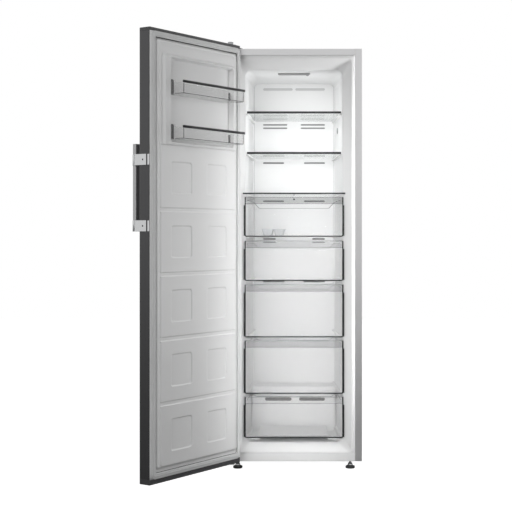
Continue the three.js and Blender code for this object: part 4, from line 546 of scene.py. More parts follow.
class FREEZER_OT_finishes(bpy.types.Operator):
    """Makes every finish of the freezer"""

    bl_idname = "freezer.finishes"
    bl_label = "Finishes"

    def execute(self, context):
        c = context.scene.freezer_colours
        grain_group()
        # Name, colour, roughness, metal, grain scale, spread of roughness, spread of tone, bump and its depth.
        finish("casing_sheet", c.steel, 0.34, 0.92, (6, 900, 6), 0.14, 0.1, 0.04, 0.00005)
        finish("door_sheet", c.door_steel, 0.38, 0.8, (6, 6, 900), 0.16, 0.2, 0.05, 0.00005)
        finish("brushed_handle", c.handle, 0.33, 0.85, (500, 500, 5), 0.14, 0.2, 0.05, 0.00005)
        finish("polished_metal", c.bright, 0.2, 1.0, 300, 0.06, 0.05)
        finish("zinc_sheet", c.zinc, 0.48, 0.8, 30, 0.22, 0.22, 0.05)
        finish("white_liner", c.white, 0.34, 0.0, 160, 0.06, 0.015, 0.03, 0.00008)
        finish("white_cover", c.white, 0.42, 0.0, 420, 0.08, 0.015, 0.06, 0.00005)
        finish("soft_seal", c.seal, 0.62, 0.0, 240, 0.1, 0.05, 0.05)
        # Dark edges of clear plastic: painted shade for the refraction in thick edges and for the gaps beside the
        # drawer fronts.
        finish("clear_edge_painted_shade", (0.025, 0.026, 0.027), 0.18, 0.0, 60, 0.05, 0.1, alpha=0.9)
        finish("clear_line", (0.40, 0.405, 0.405), 0.2, 0.0, 60, 0.05, 0.1, alpha=0.6)
        finish("trim_plastic", c.trim, 0.28, 0.0, 300, 0.08, 0.15, 0.03)
        finish("door_cap_plastic", c.cap, 0.42, 0.0, 500, 0.1, 0.12, 0.06)
        finish("foot_polymer", c.foot, 0.4, 0.0, 400, 0.12, 0.2, 0.05)
        finish("foam", c.foam, 0.9, 0.0, 120, 0.1, 0.3, 0.4, 0.0008)
        finish("machine_enamel", c.machine, 0.3, 0.2, 140, 0.1, 0.2, 0.08)
        finish("matt_black", (0.018, 0.018, 0.019), 0.45, 0.0, 500, 0.1, 0.2, 0.06)
        finish("copper_tube", c.copper, 0.3, 1.0, 90, 0.16, 0.25, 0.03)
        finish("coil_metal", (0.6, 0.61, 0.62), 0.38, 0.95, (200, 200, 30), 0.14, 0.15, 0.03)
        finish("lamp_cover", (0.30, 0.30, 0.30), 0.3, 0.0, 200, 0.06, 0.05)
        finish("tray_plastic", (0.62, 0.63, 0.64), 0.3, 0.0, 200, 0.08, 0.05, 0.03, alpha=0.8)
        # Greys standing in for the space behind the air slots: painted shade, the pale one for the top row.
        finish("slot_shade", (0.26, 0.26, 0.26), 0.6, 0.0, 200, 0.1, 0.1)
        finish("slot_haze", (0.62, 0.62, 0.62), 0.6, 0.0, 200, 0.1, 0.1)
        # Grey for the lines along the duct cover's sides: painted shade of its edges.
        finish("line_grey", (0.50, 0.50, 0.50), 0.6, 0.0, 200, 0.1, 0.1)
        finish("seal_shadow", (0.06, 0.06, 0.06), 0.7, 0.0, 200, 0.1, 0.2)
        finish("return_shadow", (0.012, 0.007, 0.006), 0.8, 0.0, 60, 0.1, 0.3, specular=0.05)
        # Name, colour, colour edge-on, cover, cover edge-on, roughness and the power of the change.
        clear_finish("clear_wall", c.clear, (0.75, 0.755, 0.755), 0.02, 0.08, 0.08, 3.0)
        clear_finish("clear_pane", c.pane, c.clear_rim, 0.20, 0.7)
        # The highest drawer's grip strip: the grip's finish made darker as a painted reflection.
        clear_finish("clear_grip_painted_reflection", c.grip_painted_reflection, c.clear_rim, 0.34, 0.7)
        clear_finish("clear_bin", c.clear, (0.42, 0.425, 0.425), 0.07, 0.35)
        clear_finish("clear_grip", c.grip, c.clear_rim, 0.34, 0.8)
        clear_finish("glass_sheet", c.glass, c.glass_rim, 0.06, 0.5, 0.04, 3.0)
        for node, made in frame["nodes"].items():
            for each in made.material_slots:
                each.material = bpy.data.materials[NODE_FINISH[SLOTS[node]]]
        return {"FINISHED"}


NODE_FINISH = {
    "casing_steel": "casing_sheet",
    "galvanised_steel": "zinc_sheet",
    "white_plastic": "white_cover",
    "insulation": "foam",
    "dark_cap": "door_cap_plastic",
    "gasket": "soft_seal",
    "clear_plastic": "clear_wall",
    "shelf_glass": "glass_sheet",
    "dark_trim": "trim_plastic",
    "lamp_lens": "lamp_cover",
    "handle_metal": "brushed_handle",
    "bright_metal": "polished_metal",
    "ice_tray_plastic": "tray_plastic",
    "machine_black": "machine_enamel",
    "black_plastic": "matt_black",
    "copper_pipe": "copper_tube",
    "coil_aluminium": "coil_metal",
    "foot_plastic": "foot_polymer",
}


# ------------------------ stage


class FREEZER_OT_stage(bpy.types.Operator):
    """Sets up the pale floor, the lamps and the camera"""

    bl_idname = "freezer.stage"
    bl_label = "Studio"

    def execute(self, context):
        s = context.scene.freezer_studio
        scene = context.scene
        scene.view_settings.view_transform = "Standard"
        scene.cycles.transparent_max_bounces = 32
        self.surroundings(scene, s.ambience)
        self.floor()
        # Name, place, aim, size, power and spread.
        self.lamp("key_lamp", (-1.9, -5.0, 2.3), (0.0, -0.2, 0.95), (1.8, 1.8), s.key)
        self.lamp("side_lamp", (0.75, -0.50, 1.05), (-0.30, -0.45, 1.0), (0.15, 1.5), s.side)
        self.lamp("top_lamp", (0.3, -0.9, 2.9), (0.0, -0.2, 0.95), (0.8, 0.5), s.above)
        self.lamp("inner_lamp", (0.02, -1.30, 0.80), (0.0, 0.5, 0.76), (0.36, 1.45), s.inner, 46.0)
        self.lamp("shelf_lamp", (0.0, -0.24, 1.45), (0.0, 0.5, 1.45), (0.30, 0.34), s.upper)
        camera = bpy.data.cameras.new("camera")
        camera.sensor_width, camera.lens = 36.0, s.lens
        camera.shift_x, camera.shift_y = s.shift_x, s.shift_y
        eye = bpy.data.objects.new("camera", camera)
        eye.location = (0.0, -s.distance, s.eye_height)
        eye.rotation_euler = (math.pi / 2, 0.0, 0.0)
        scene.collection.objects.link(eye)
        scene.camera = eye
        return {"FINISHED"}

    def surroundings(self, scene, ambience):
        """White where the camera looks straight, by reflection or through; a dimmer even light for the rest."""
        scene.world = scene.world or bpy.data.worlds.new("Studio")
        scene.world.use_nodes = True
        tree = scene.world.node_tree
        tree.nodes.clear()
        path = node_in(tree, "LightPath")
        straight = node_in(tree, "Math", operation="MAXIMUM")
        seen = node_in(tree, "Math", operation="MAXIMUM")
        mix = node_in(tree, "MixShader")
        even = node_in(tree, "Background", {"Color": (1, 1, 1, 1), "Strength": ambience})
        white = node_in(tree, "Background", {"Color": (1, 1, 1, 1), "Strength": 1.0})
        out = node_in(tree, "OutputWorld")
        wire(
            tree,
            (path, "Is Camera Ray", straight, 0), (path, "Is Glossy Ray", straight, 1), (straight, 0, seen, 0),
            (path, "Is Transmission Ray", seen, 1), (seen, 0, mix, 0), (even, 0, mix, 1), (white, 0, mix, 2),
            (mix, 0, out, 0),
        )

    def floor(self, reach=9.0, gap=0.0006):
        """A wide flat floor under the feet, bright enough to the camera to read white."""
        low = float(CAD_BOX[0][2]) - gap
        corners = [(-reach, -reach, low), (reach, -reach, low), (-reach, reach, low), (reach, reach, low)]
        mesh = bpy.data.meshes.new("floor")
        mesh.from_pydata(corners, [], quads(2, 2).tolist())
        plane = bpy.data.objects.new("floor", mesh)
        bpy.context.scene.collection.objects.link(plane)
        made = bpy.data.materials.new("studio_floor")
        made.use_nodes = True
        shader = made.node_tree.nodes["Principled BSDF"]
        shader.inputs["Base Color"].default_value = (0.35, 0.35, 0.35, 1)
        shader.inputs["Roughness"].default_value = 0.9
        shader.inputs["Specular IOR Level"].default_value = 0.0
        shader.inputs["Emission Color"].default_value = (1, 1, 1, 1)
        path = node_in(made.node_tree, "LightPath")
        wire(made.node_tree, (path, "Is Camera Ray", shader, "Emission Strength"))
        mesh.materials.append(made)

    def lamp(self, name, place, aim, size, power, spread=180.0):
        """A soft rectangular lamp that faces a point and doesn't show itself."""
        data = bpy.data.lights.new(name, "AREA")
        data.shape = "RECTANGLE"
        data.energy, data.size, data.size_y = power, *size
        data.spread = math.radians(spread)
        lamp = bpy.data.objects.new(name, data)
        lamp.location = place
        lamp.rotation_euler = (Vector(aim) - Vector(place)).to_track_quat("-Z", "Y").to_euler()
        lamp.visible_camera = lamp.visible_glossy = False
        bpy.context.scene.collection.objects.link(lamp)


# ------------------------ cabinet


class FREEZER_OT_liner(bpy.types.Operator):
    """Builds the moulded inner liner, its drawer runners and the plates of painted shade and shadow at its slots"""

    bl_idname = "freezer.liner"
    bl_label = "Inner liner"

    def execute(self, context):
        s = context.scene.freezer_cabinet
        # Profile of depth against inset: flat lip, sloping mouth, long wall; every corner softened.
        line = soften(
            [(0.0, -s.lip), (0.0, 0.0), (s.chamfer, s.chamfer), (s.liner_depth, s.chamfer)],
            (0, 0.0035, s.soft_radius * 1.6, 0), 7,
        )
        # The floor steps up over the machine niche, within 2 mm of depth.
        step_front, step_top = 0.365, 0.264
        extra = [(step_front - 0.001, s.chamfer), (step_front + 0.001, s.chamfer)]
        line = np.array(sorted(line.tolist() + extra, key=lambda p: (round(p[0], 6), p[1])))
        rows = []
        for depth, inset in line:
            part, out = max(inset, 0.0) / s.chamfer, min(inset, 0.0)
            back = max(depth - s.chamfer, 0.0) / (s.liner_depth - s.chamfer)
            half = s.mouth_half_width - out - s.wall_inset * part - s.wall_taper * back
            top = s.mouth_top - out - s.ceiling_drop * part - s.ceiling_fall * back
            low = step_top if depth > step_front else s.mouth_bottom + s.floor_rise * part
            radius = 0.014 + 0.016 * part + out * 0.8
            rows.append(lift(ring(half, low, top, radius, 9), FRONT + depth, 1))
        # The rear wall: two smaller loops, a little deeper, round off its edge before one flat face.
        last = rows[-1]
        for shrink, deeper in ((0.985, 0.0022), (0.965, 0.003)):
            inner = last.mean(axis=0) + (last - last.mean(axis=0)) * shrink
            inner[:, 1] = last[0, 1] + deeper
            rows.append(inner)
        skin = Skin().grid(np.array(rows), wrap_cols=True)
        skin.faces.append(list(range(skin.count - len(last), skin.count)))
        shell = skin.piece("liner_shell", "cabinet", "white_liner", "white_plastic", ("inner_liner",), closed=False)
        work = bmesh.new()
        work.from_mesh(shell.data)
        bmesh.ops.recalc_face_normals(work, faces=work.faces)
        probe = min(work.faces, key=lambda f: f.calc_center_median().z)
        if probe.normal.z < 0:
            bmesh.ops.reverse_faces(work, faces=work.faces)
        work.to_mesh(shell.data)
        work.free()
        smooth_by_angle(shell.data, 50)
        walled(shell)
        self.runners(s)
        self.backing(s)
        return {"FINISHED"}

    def backing(self, s):
        """Small flat-faced pieces on and round the duct cover, each a prism or a section carried along a path.

        They are grey plates behind the air slots, painted shade of the space behind them, paler in the top row;
        near-black plates at the return slots, painted shadow of their insides; a thin grey line at each side of the
        cover, painted shade of its edges; the strip that closes its seam, the sensor's tip and the oval button on the
        right wall.
        """
        low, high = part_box("duct_cover")
        plate = oblong(low[0] + 0.004, high[0] - 0.004, 0.0, 0.0015)
        line = oblong(-0.0006, 0.0006, 0.0, 0.0012)
        x, top, seam_foot = high[0] + 0.0021, high[2] + 0.0008, 0.270
        seam = lift(soften([(-x, seam_foot), (-x, top), (x, top), (x, seam_foot)], 0.004, 4), low[1] + 0.0034, 1)
        slots = [rounded(oblong(left, right, 0.2195, 0.2345), 0.0072, 6)
                 for left, right in ((-0.1345, -0.0115), (0.0235, 0.1435))]
        # The button's face leans with the wall's taper.
        button = circle(24) * (0.022, 0.014)
        lean = 0.2030 - 0.024 / 0.505 * button[:, 0]
        for name, finish_name, *bars in (
            # Grey plate behind the top row of air slots: paler painted shade.
            ("duct_backing_top", "slot_haze",
             prism(plate + (0, low[1] + 0.5 * s.slot_depth), (1.660, high[2] - 0.004), 2)),
            # Thin grey lines at the cover's sides: painted shade of its edges.
            ("duct_lines", "line_grey", *(
                prism(line + (side * (high[0] - 0.0008), low[1] - 0.0004), (low[2] + 0.01, high[2] - 0.002), 2)
                for side in (-1, 1))),
            # Grey plate behind the lower air slots: painted shade.
            ("duct_backing", "slot_shade", prism(plate + (0, low[1] + s.slot_depth), (0.752, 1.650), 2)),
            # Near-black plates at the return slots: painted shadow of their insides.
            ("return_backing", "return_shadow", *(prism(slot, (0.0328, 0.0340), 1) for slot in slots)),
            ("sensor_tip", "trim_plastic",
             carry(0.0042 * circle(24), lift([(0.0, 0.1735), (0.0, 0.1690)], 1.160, 2), UP)),
            ("wall_button", "lamp_cover", np.array([
                np.stack([lean - thick, 0.005 + button[:, 0], 1.471 + button[:, 1]], -1) for thick in (0.0, 0.004)])),
            ("duct_seam", "white_cover", carry(oblong(-0.0028, 0.0028, 0.0, 0.0012), seam, FORWARD)),
        ):
            flat_piece(name, "cabinet", finish_name, "white_plastic", *bars)

    def runners(self, s):
        """Moulded ribs along both walls: a rounded bar whose inner face follows the tapering wall."""
        gap, start, far, low_tall, low_far = 0.0003, 0.062, 0.462, 0.023, 0.330
        levels = [(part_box(f"drawer_box_{i}")[0][2] - gap, s.runner_height, far) for i in range(1, 5)]
        levels += [(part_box("drawer_box_5")[0][2] - gap, low_tall, low_far)]
        levels += [(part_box(f"shelf_glass_{level}")[0][2] - gap, s.runner_height, far)
                   for level in ("upper", "middle", "lower")]
        skin = Skin()
        for top, tall, end in levels:
            depths = np.array([start, start + 0.0015, start + 0.005, end - 0.004, end - 0.001, end])
            back = (depths - s.chamfer) / (s.liner_depth - s.chamfer)
            walls = s.mouth_half_width - s.wall_inset - s.wall_taper * back
            inner, buried = -s.runner_width, 0.002
            section = soften([(buried, 0.0), (inner, 0.0), (inner, -tall), (buried, -tall)], (0, 0.003, 0.003, 0), 4)
            for side in (-1, 1):
                rows = []
                for depth, wall, grow in zip(depths, walls, (0.55, 0.85, 1.0, 1.0, 0.85, 0.55)):
                    out = np.where(section[:, 0] < 0, section[:, 0] * grow, section[:, 0])
                    up = section[:, 1]
                    if grow < 1:
                        up = -tall / 2 + (up + tall / 2) * (0.8 + 0.2 * grow)
                    rows.append(np.stack([side * (wall + out), 0 * out + FRONT + depth, top + up], -1))
                skin.bar(np.array(rows))
        skin.piece("drawer_runners", "cabinet", "white_liner", "white_plastic", sharp=40)


class FREEZER_OT_casing(bpy.types.Operator):
    """Gives the folded sheets, covers, hinges and brackets their rounded edges"""

    bl_idname = "freezer.casing"
    bl_label = "Casing and hardware"

    def execute(self, context):
        for node in ("side_panel_left", "side_panel_right", "top_panel"):
            softened(node, "casing_sheet", 0.0004)
        softened("bottom_rail", "white_liner", 0.001, 3)
        softened("return_cover", "white_cover", 0.0008)
        softened("duct_cover", "white_cover", 0.0006)
        for node in ("top_hinge", "bottom_hinge", "roller_bracket_left", "roller_bracket_right"):
            softened(node, "zinc_sheet", 0.0004)
        softened("hinge_cover", "door_cap_plastic", 0.0012, 3)
        for level in ("upper", "middle", "lower"):
            softened(f"shelf_trim_{level}", "trim_plastic", 0.0004)
        return {"FINISHED"}


class FREEZER_OT_lamp(bpy.types.Operator):
    """Builds the strip lamp under the ceiling with the small sensor at its end"""

    bl_idname = "freezer.lamp"
    bl_label = "Strip lamp"

    def execute(self, context):
        low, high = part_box("led_lamp")
        cx, cy = (low[0] + high[0]) / 2, (low[1] + high[1]) / 2
        hx, hy = (high[0] - low[0]) / 2, (high[1] - low[1]) / 2
        # Height and inset of each loop, from the ceiling down to the lens.
        levels = ((high[2], 0.0), (high[2] - 0.003, 0.0), (low[2] + 0.0012, 0.0022), (low[2], 0.0045),
                  (low[2] - 0.0002, 0.012))
        rows = []
        for z, inset in levels:
            radius = max(0.008 - inset * 0.3, 0.002)
            rows.append(lift(ring(hx - inset, cy - hy + inset, cy + hy - inset, radius, 6, cx), z, 2))
        t = np.linspace(0, math.pi / 2, 6)
        dome = np.stack([0.007 * np.cos(t) + AXIS, -0.0045 * np.sin(t)], -1)
        skin = Skin().bar(np.array(rows)).bar(revolve(dome, (high[0] - 0.012, cy, low[2] + 0.0004), 24))
        skin.piece("lamp_strip", "cabinet", "lamp_cover", "lamp_lens", ("led_lamp",), sharp=40)
        return {"FINISHED"}


class FREEZER_OT_feet(bpy.types.Operator):
    """Turns the levelling feet and rounds the rear rollers' edges"""

    bl_idname = "freezer.feet"
    bl_label = "Feet and rollers"

    def execute(self, context):
        r = context.scene.freezer_cabinet.foot_radius
        # Profiles of (radius, height) above the ground.
        pad = soften([(AXIS, 0.0), (r - 0.001, 0.0), (r, 0.0095), (r - 0.005, 0.0115), (r - 0.0085, 0.013),
                      (AXIS, 0.0132)], 0.0016, 4)
        stem = soften([(AXIS, 0.0133), (0.0118, 0.0133), (0.0108, 0.0185), (0.0078, 0.0232), (0.0056, 0.026),
                       (0.0052, 0.047), (AXIS, 0.047)], 0.0012, 4)
        for side in ("left", "right"):
            low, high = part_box(f"foot_{side}")
            centre, body = ((low[0] + high[0]) / 2, (low[1] + high[1]) / 2, low[2]), f"foot_{side}_body"
            Skin().bar(revolve(pad, centre)).piece(
                f"foot_pad_{side}", body, "foot_polymer", "foot_plastic", (f"foot_{side}",))
            Skin().bar(revolve(stem, centre)).piece(f"foot_stem_{side}", body, "polished_metal", "foot_plastic")
            softened(f"rear_roller_{side}", "foot_polymer", 0.0006)
        return {"FINISHED"}


# ------------------------ door


class FREEZER_OT_door_liner(bpy.types.Operator):
    """Forms the door's embossed liner as one height over its flat back"""

    bl_idname = "freezer.door_liner"
    bl_label = "Door liner"

    def execute(self, context):
        s = context.scene.freezer_door
        X, Z, height = self.relief(s, 0.296, 0.0263, 1.7967)
        skin = Skin().grid(swung(np.stack([X, INNER + height, Z], -1)), flip=True)
        made = skin.piece("door_inner_form", "door", "white_liner", "white_plastic", ("door_liner",), closed=False)
        if np.dot(made.data.polygons[0].normal, THROUGH) < 0:
            made.data.flip_normals()
        walled(made)
        self.filling(s)
        return {"FINISHED"}

    def relief(self, s, half, low_z, high_z):
        """Height over the flat liner, at points set close along its steps.

        It is a sloping plug, a raised frame with a sunk recess and a small ledge below, grooves between the bays,
        and two sunk squares in each bay. A step is soft in the distance from a rounded rectangle's edge.
        """
        plug_low, plug_high = 0.061, 1.757
        frame_low, frame_high, frame_half = 1.349, 1.714, 0.2385
        well_low, well_high, well_half = 1.362, 1.697, 0.2080
        foot_slope, plug_slope, frame_slope, well_slope, fine_slope = 0.010, 0.007, 0.011, 0.006, 0.003
        frame_foot, ledge = 0.004, 0.003
        bays = 5
        pitch = (frame_low - plug_low) / bays
        grooves = [plug_low + pitch * k for k in range(1, bays)]
        bay_middles = [plug_low + pitch * (k + 0.5) for k in range(bays)]
        groove = s.groove_width / 2
        near = np.array([-9, -4.6, -2.6, -0.9, 0.9, 2.6, 4.6, 9]) / 1000

        def places(first, last, count, lines):
            """Even steps from first to last and a close set round each line, in order."""
            values = np.concatenate([np.linspace(first, last, count)] + [line + near for line in lines])
            return np.unique(np.round(values[(values >= first) & (values <= last)], 4))

        plug_lines = (0.268, 0.258, 0.250, 0.243, s.panel_place + s.panel_width / 2, s.panel_place - s.panel_width / 2)
        across = [side * v for v in (*plug_lines, frame_half, frame_half - frame_slope) for side in (-1, 1)]
        across += [s.recess_aside + side * v for side in (-1, 1) for v in (well_half, well_half - well_slope)]
        up = [plug_low, plug_low + 0.012, plug_high + 0.015, plug_high]
        up += [frame_low, frame_high, well_low, well_high, well_high + 0.008]
        up += [v + o for v in grooves for o in (-groove, groove)]
        up += [v + o * s.panel_height / 2 for v in bay_middles for o in (-1, 1)]
        X, Z = np.meshgrid(places(-half, half, 16, across), places(low_z, high_z, 40, up))

        foot = inside(X, Z, s.plug_half_width + 0.013, plug_low - 0.001, plug_high + 0.015, 0.018)
        plug = step(inside(X, Z, s.plug_half_width - 0.005, plug_low + 0.006, plug_high - 0.002, 0.016) / plug_slope)
        height = s.plug_foot * step(foot / foot_slope) + (s.plug_height - s.plug_foot) * plug
        edge = inside(X, Z, frame_half, frame_low - 0.03, frame_high, 0.016) / frame_slope
        frame_rise = step(np.minimum(edge, (Z - frame_low) / frame_foot))
        height += (s.frame_height - s.plug_height) * frame_rise
        well_top = well_high + 0.003
        well = inside(X, Z, well_half + 0.001, well_low - 0.001, well_top, 0.014, s.recess_aside)
        sunk = step(np.minimum(well, well_top - Z) / well_slope)
        height += (s.recess_height - s.frame_height) * sunk * (frame_rise > 0)
        height += ledge * plug * (1 - frame_rise) * step(1 - np.abs(Z - frame_low - frame_foot) / 0.006)
        for middle in grooves:
            height -= s.groove_depth * plug * step((groove + 0.001 - np.abs(Z - middle)) / fine_slope)
        panel_half, reach = s.panel_width / 2 + 0.0015, s.panel_height / 2 + 0.0015
        for middle in bay_middles:
            for centre in (-s.panel_place, s.panel_place):
                panel = inside(X, Z, panel_half, middle - reach, middle + reach, 0.015, centre)
                height -= s.panel_depth * step(panel / fine_slope)
        return X, Z, height

    def filling(self, s):
        """The door's foam: a block whose front follows the lowest relief near each point, just behind the liner."""
        near, gap, cushion, deep = 3, 0.0035, 0.001, 0.0536
        X, Z, height = self.relief(s, 0.2962, 0.0263, 1.7967)
        for axis in (0, 1):
            height = np.min([np.roll(height, shift, axis) for shift in range(-near, near + 1)], axis=0)
        X, Z, height = X[::2, ::2], Z[::2, ::2], height[::2, ::2]
        top = np.stack([X, INNER - gap + np.maximum(height - cushion, 0), Z], -1)
        under = np.stack([X[:, [0, -1]], np.full_like(X[:, :2], INNER - deep), Z[:, [0, -1]]], -1)
        rows = np.concatenate([under[:, :1], top, under[:, 1:]], axis=1)
        flat_piece("door_filling", "door", "foam", "insulation", swung(rows), stands_for=("door_foam",))


class FREEZER_OT_door_shell(bpy.types.Operator):
    """Finishes the door's sheet, end caps, seal and handle"""

    bl_idname = "freezer.door_shell"
    bl_label = "Door shell, seal and handle"

    def execute(self, context):
        s = context.scene.freezer_door
        softened("door_skin", "door_sheet", 0.0005)
        softened("door_cap_top", "door_cap_plastic", 0.0008)
        softened("door_cap_bottom", "door_cap_plastic", 0.0008)
        self.deepen(softened("handle_bar", "brushed_handle", 0.0006))
        self.screws()
        softened("handle_arm_upper", "polished_metal", 0.0006)
        softened("handle_arm_lower", "polished_metal", 0.0006)
        door_half, margin, door_low, door_top = 0.2975, 0.0045, 0.0255, 1.797
        self.seal(s.seal_width / 2, door_half - margin, door_low, door_top)
        return {"FINISHED"}

    def seal(self, w, half, low, high):
        """A pleated section carried round a rounded rectangle, and a dark strip inside it painted as the shadow under
        the seal's lip.
        """
        section = rounded([
            (-0.0062, 0.0004), (0.0062, 0.0004), (0.0062, 0.0034), (0.0085, 0.0039), (w, 0.0041), (w, 0.0054),
            (w - 0.0055, 0.0070), (w - 0.0065, 0.0063), (w - 0.0075, 0.0077), (w - 0.0120, 0.0093), (-0.0030, 0.0093),
            (-0.0045, 0.0082), (-0.0060, 0.0093), (-w + 0.0022, 0.0093), (-w, 0.0078), (-w, 0.0052),
            (-0.0085, 0.0042), (-0.0062, 0.0034),
        ], 0.0008, 3)
        loop = ring(half - w, low + w, high - w, 0.012, 10)
        t = np.roll(loop, -1, axis=0) - np.roll(loop, 1, axis=0)
        t /= np.linalg.norm(t, axis=1, keepdims=True)
        across = np.stack([t[:, 1], -t[:, 0]], -1)
        x = loop[:, None, 0] + section[None, :, 0] * across[:, None, 0]
        z = loop[:, None, 1] + section[None, :, 0] * across[:, None, 1]
        y = INNER + section[None, :, 1] + 0 * x
        Skin().grid(swung(np.stack([x, y, z], -1)), wrap_rows=True, wrap_cols=True).piece(
            "door_seal", "door", "soft_seal", "gasket", ("door_gasket",))
        # The painted shadow under the seal's lip: a dark strip along the top, down the hinge side and along the
        # bottom, broader near the top.
        a, foot, top, thin = half - 2 * w - 0.0008, low + 2 * w + 0.0008, high - 2 * w - 0.0012, 0.001
        path = soften([(a, top), (-a, top), (-a, foot), (a, foot)], 0.006, 5)
        broad = (0.0006 + 0.0009 * step((path[:, 1] - 1.60) / 0.15)) / thin
        path = lift(path, INNER + 0.0006, 1)
        rows = carry(oblong(-thin, thin, -0.0006, 0.0006), path, BACK)
        rows = path[:, None, :] + (rows - path[:, None, :]) * np.stack([broad, 1 + 0 * broad, broad], -1)[:, None, :]
        Skin().bar(swung(rows)).piece("seal_painted_shadow", "door", "seal_shadow", "gasket")

    def deepen(self, bar, deeper=0.006):
        """Moves the handle bar's inner half towards the door, through whose thickness the depth is measured."""
        points = points_of(bar.data)
        depth = points @ THROUGH
        points += np.where(depth > (depth.min() + depth.max()) / 2, deeper, 0.0)[:, None] * THROUGH
        bar.data.vertices.foreach_set("co", points.ravel())

    def screws(self):
        """A screw head on each handle arm, a circle carried outwards, and a plate beside it, an upright prism."""
        plate, tall, y = oblong(0.2974, 0.2992, -0.3205, -0.3110), 0.021, HINGE[1]
        heads, plates = [], []
        for node in ("handle_arm_lower", "handle_arm_upper"):
            low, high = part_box(node)
            middle = (low[2] + high[2]) / 2
            # How far the arm reaches along the shut door.
            reach = HINGE[0] + np.max((points_of(bpy.data.objects[node].data)[:, :2] - HINGE) @ ALONG)
            path = np.array([(reach - 0.001, y, middle), (reach + 0.0005, y, middle)])
            heads.append(swung(carry(0.0034 * circle(20), path, UP)))
            plates.append(swung(prism(plate, (middle - tall, middle + tall), 2)))
        flat_piece("handle_screws", "door", "trim_plastic", "bright_metal", *heads)
        flat_piece("handle_plates", "door", "polished_metal", "bright_metal", *plates)


class FREEZER_OT_door_bins(bpy.types.Operator):
    """Builds the clear door bins with their dark rails and end brackets"""

    bl_idname = "freezer.door_bins"
    bl_label = "Door bins"

    def execute(self, context):
        s = context.scene.freezer_door
        half, front, back, inset = 0.2033, INNER + 0.0965 - 0.003, INNER + 0.050, 0.001
        side = half - inset
        outline = soften([(-side, back), (-side, front), (side, front), (side, back)], 0.016, 8)
        deep, tall = 0.0035, s.rail_height / 2
        section = rounded(oblong(-deep, deep, -tall, tall), 0.0015, 3)
        t, rail_foot = np.linspace(-half, half, 9), 0.043
        for level, low in (("upper", 1.551), ("lower", 1.372)):
            softened(f"door_bin_{level}", "clear_bin", 0.0007)
            line = np.stack([t, 0 * t + front, 0 * t + low + rail_foot + tall], -1)
            Skin().bar(swung(carry(section, line, UP))).piece(
                f"bin_rail_bar_{level}", "door", "trim_plastic", "dark_trim", (f"bin_rail_{level}",))
            self.edges(s, level, low, outline)
            self.hooks(s, level, low)
        return {"FINISHED"}

    def edges(self, s, level, low, outline):
        """The bin's lower edge and its two front corners, painted dark for the refraction in the clear plastic: a
        small square section carried along each.
        """
        e = s.bin_line / 2
        square = rounded(oblong(-e, e, -e, e), e / 3, 2)
        skin = Skin().bar(swung(carry(square, lift(outline, low + e + 0.0004, 2), UP)))
        t = np.linspace(0, 1, 5)
        for side in (-1, 1):
            corner = np.stack([side * 0.1985 + 0 * t, FRONT + 0.0818 + 0 * t, low + 0.002 + 0.039 * t], -1)
            skin.bar(swung(carry(square, corner, BACK)))
        skin.piece(f"bin_edges_{level}", "door", "clear_edge_painted_shade", "clear_plastic")

    def hooks(self, s, level, low):
        """The bin's dark end brackets on the recess.

        The hinge side has a short post. The handle side has a strip carried up, across and down, and a post in it.
        """
        floor, deep = INNER + s.recess_height, 0.0242 - s.recess_height
        w, x, top = s.hook_width / 2 - 0.0026, s.hook_place, low + s.hook_height
        short = oblong(-w, -0.1 * w, 0.7 * deep, 0.98 * deep) + (-x, floor + 0.0002)
        post = oblong(-w, 0.2 * w, 0.0, 0.8 * deep) + (x, floor + 0.0002)
        strip = rounded(oblong(-0.0026, 0.0026, 0.0, deep), 0.0004, 2)
        foot = low + 0.001
        line = soften([(x - w, foot), (x - w, top), (x + w, top), (x + w, foot)], 0.003, 4)
        skin = Skin().bar(swung(prism(short, (low + 0.010, low + 0.044), 2)))
        skin.bar(swung(carry(strip, lift(line, floor + 0.0001, 1), BACK)))
        skin.bar(swung(prism(post, (low + 0.002, top - 0.001), 2)))
        skin.piece(f"bin_hooks_{level}", "door", "trim_plastic", "dark_trim")


# ------------------------ drawers


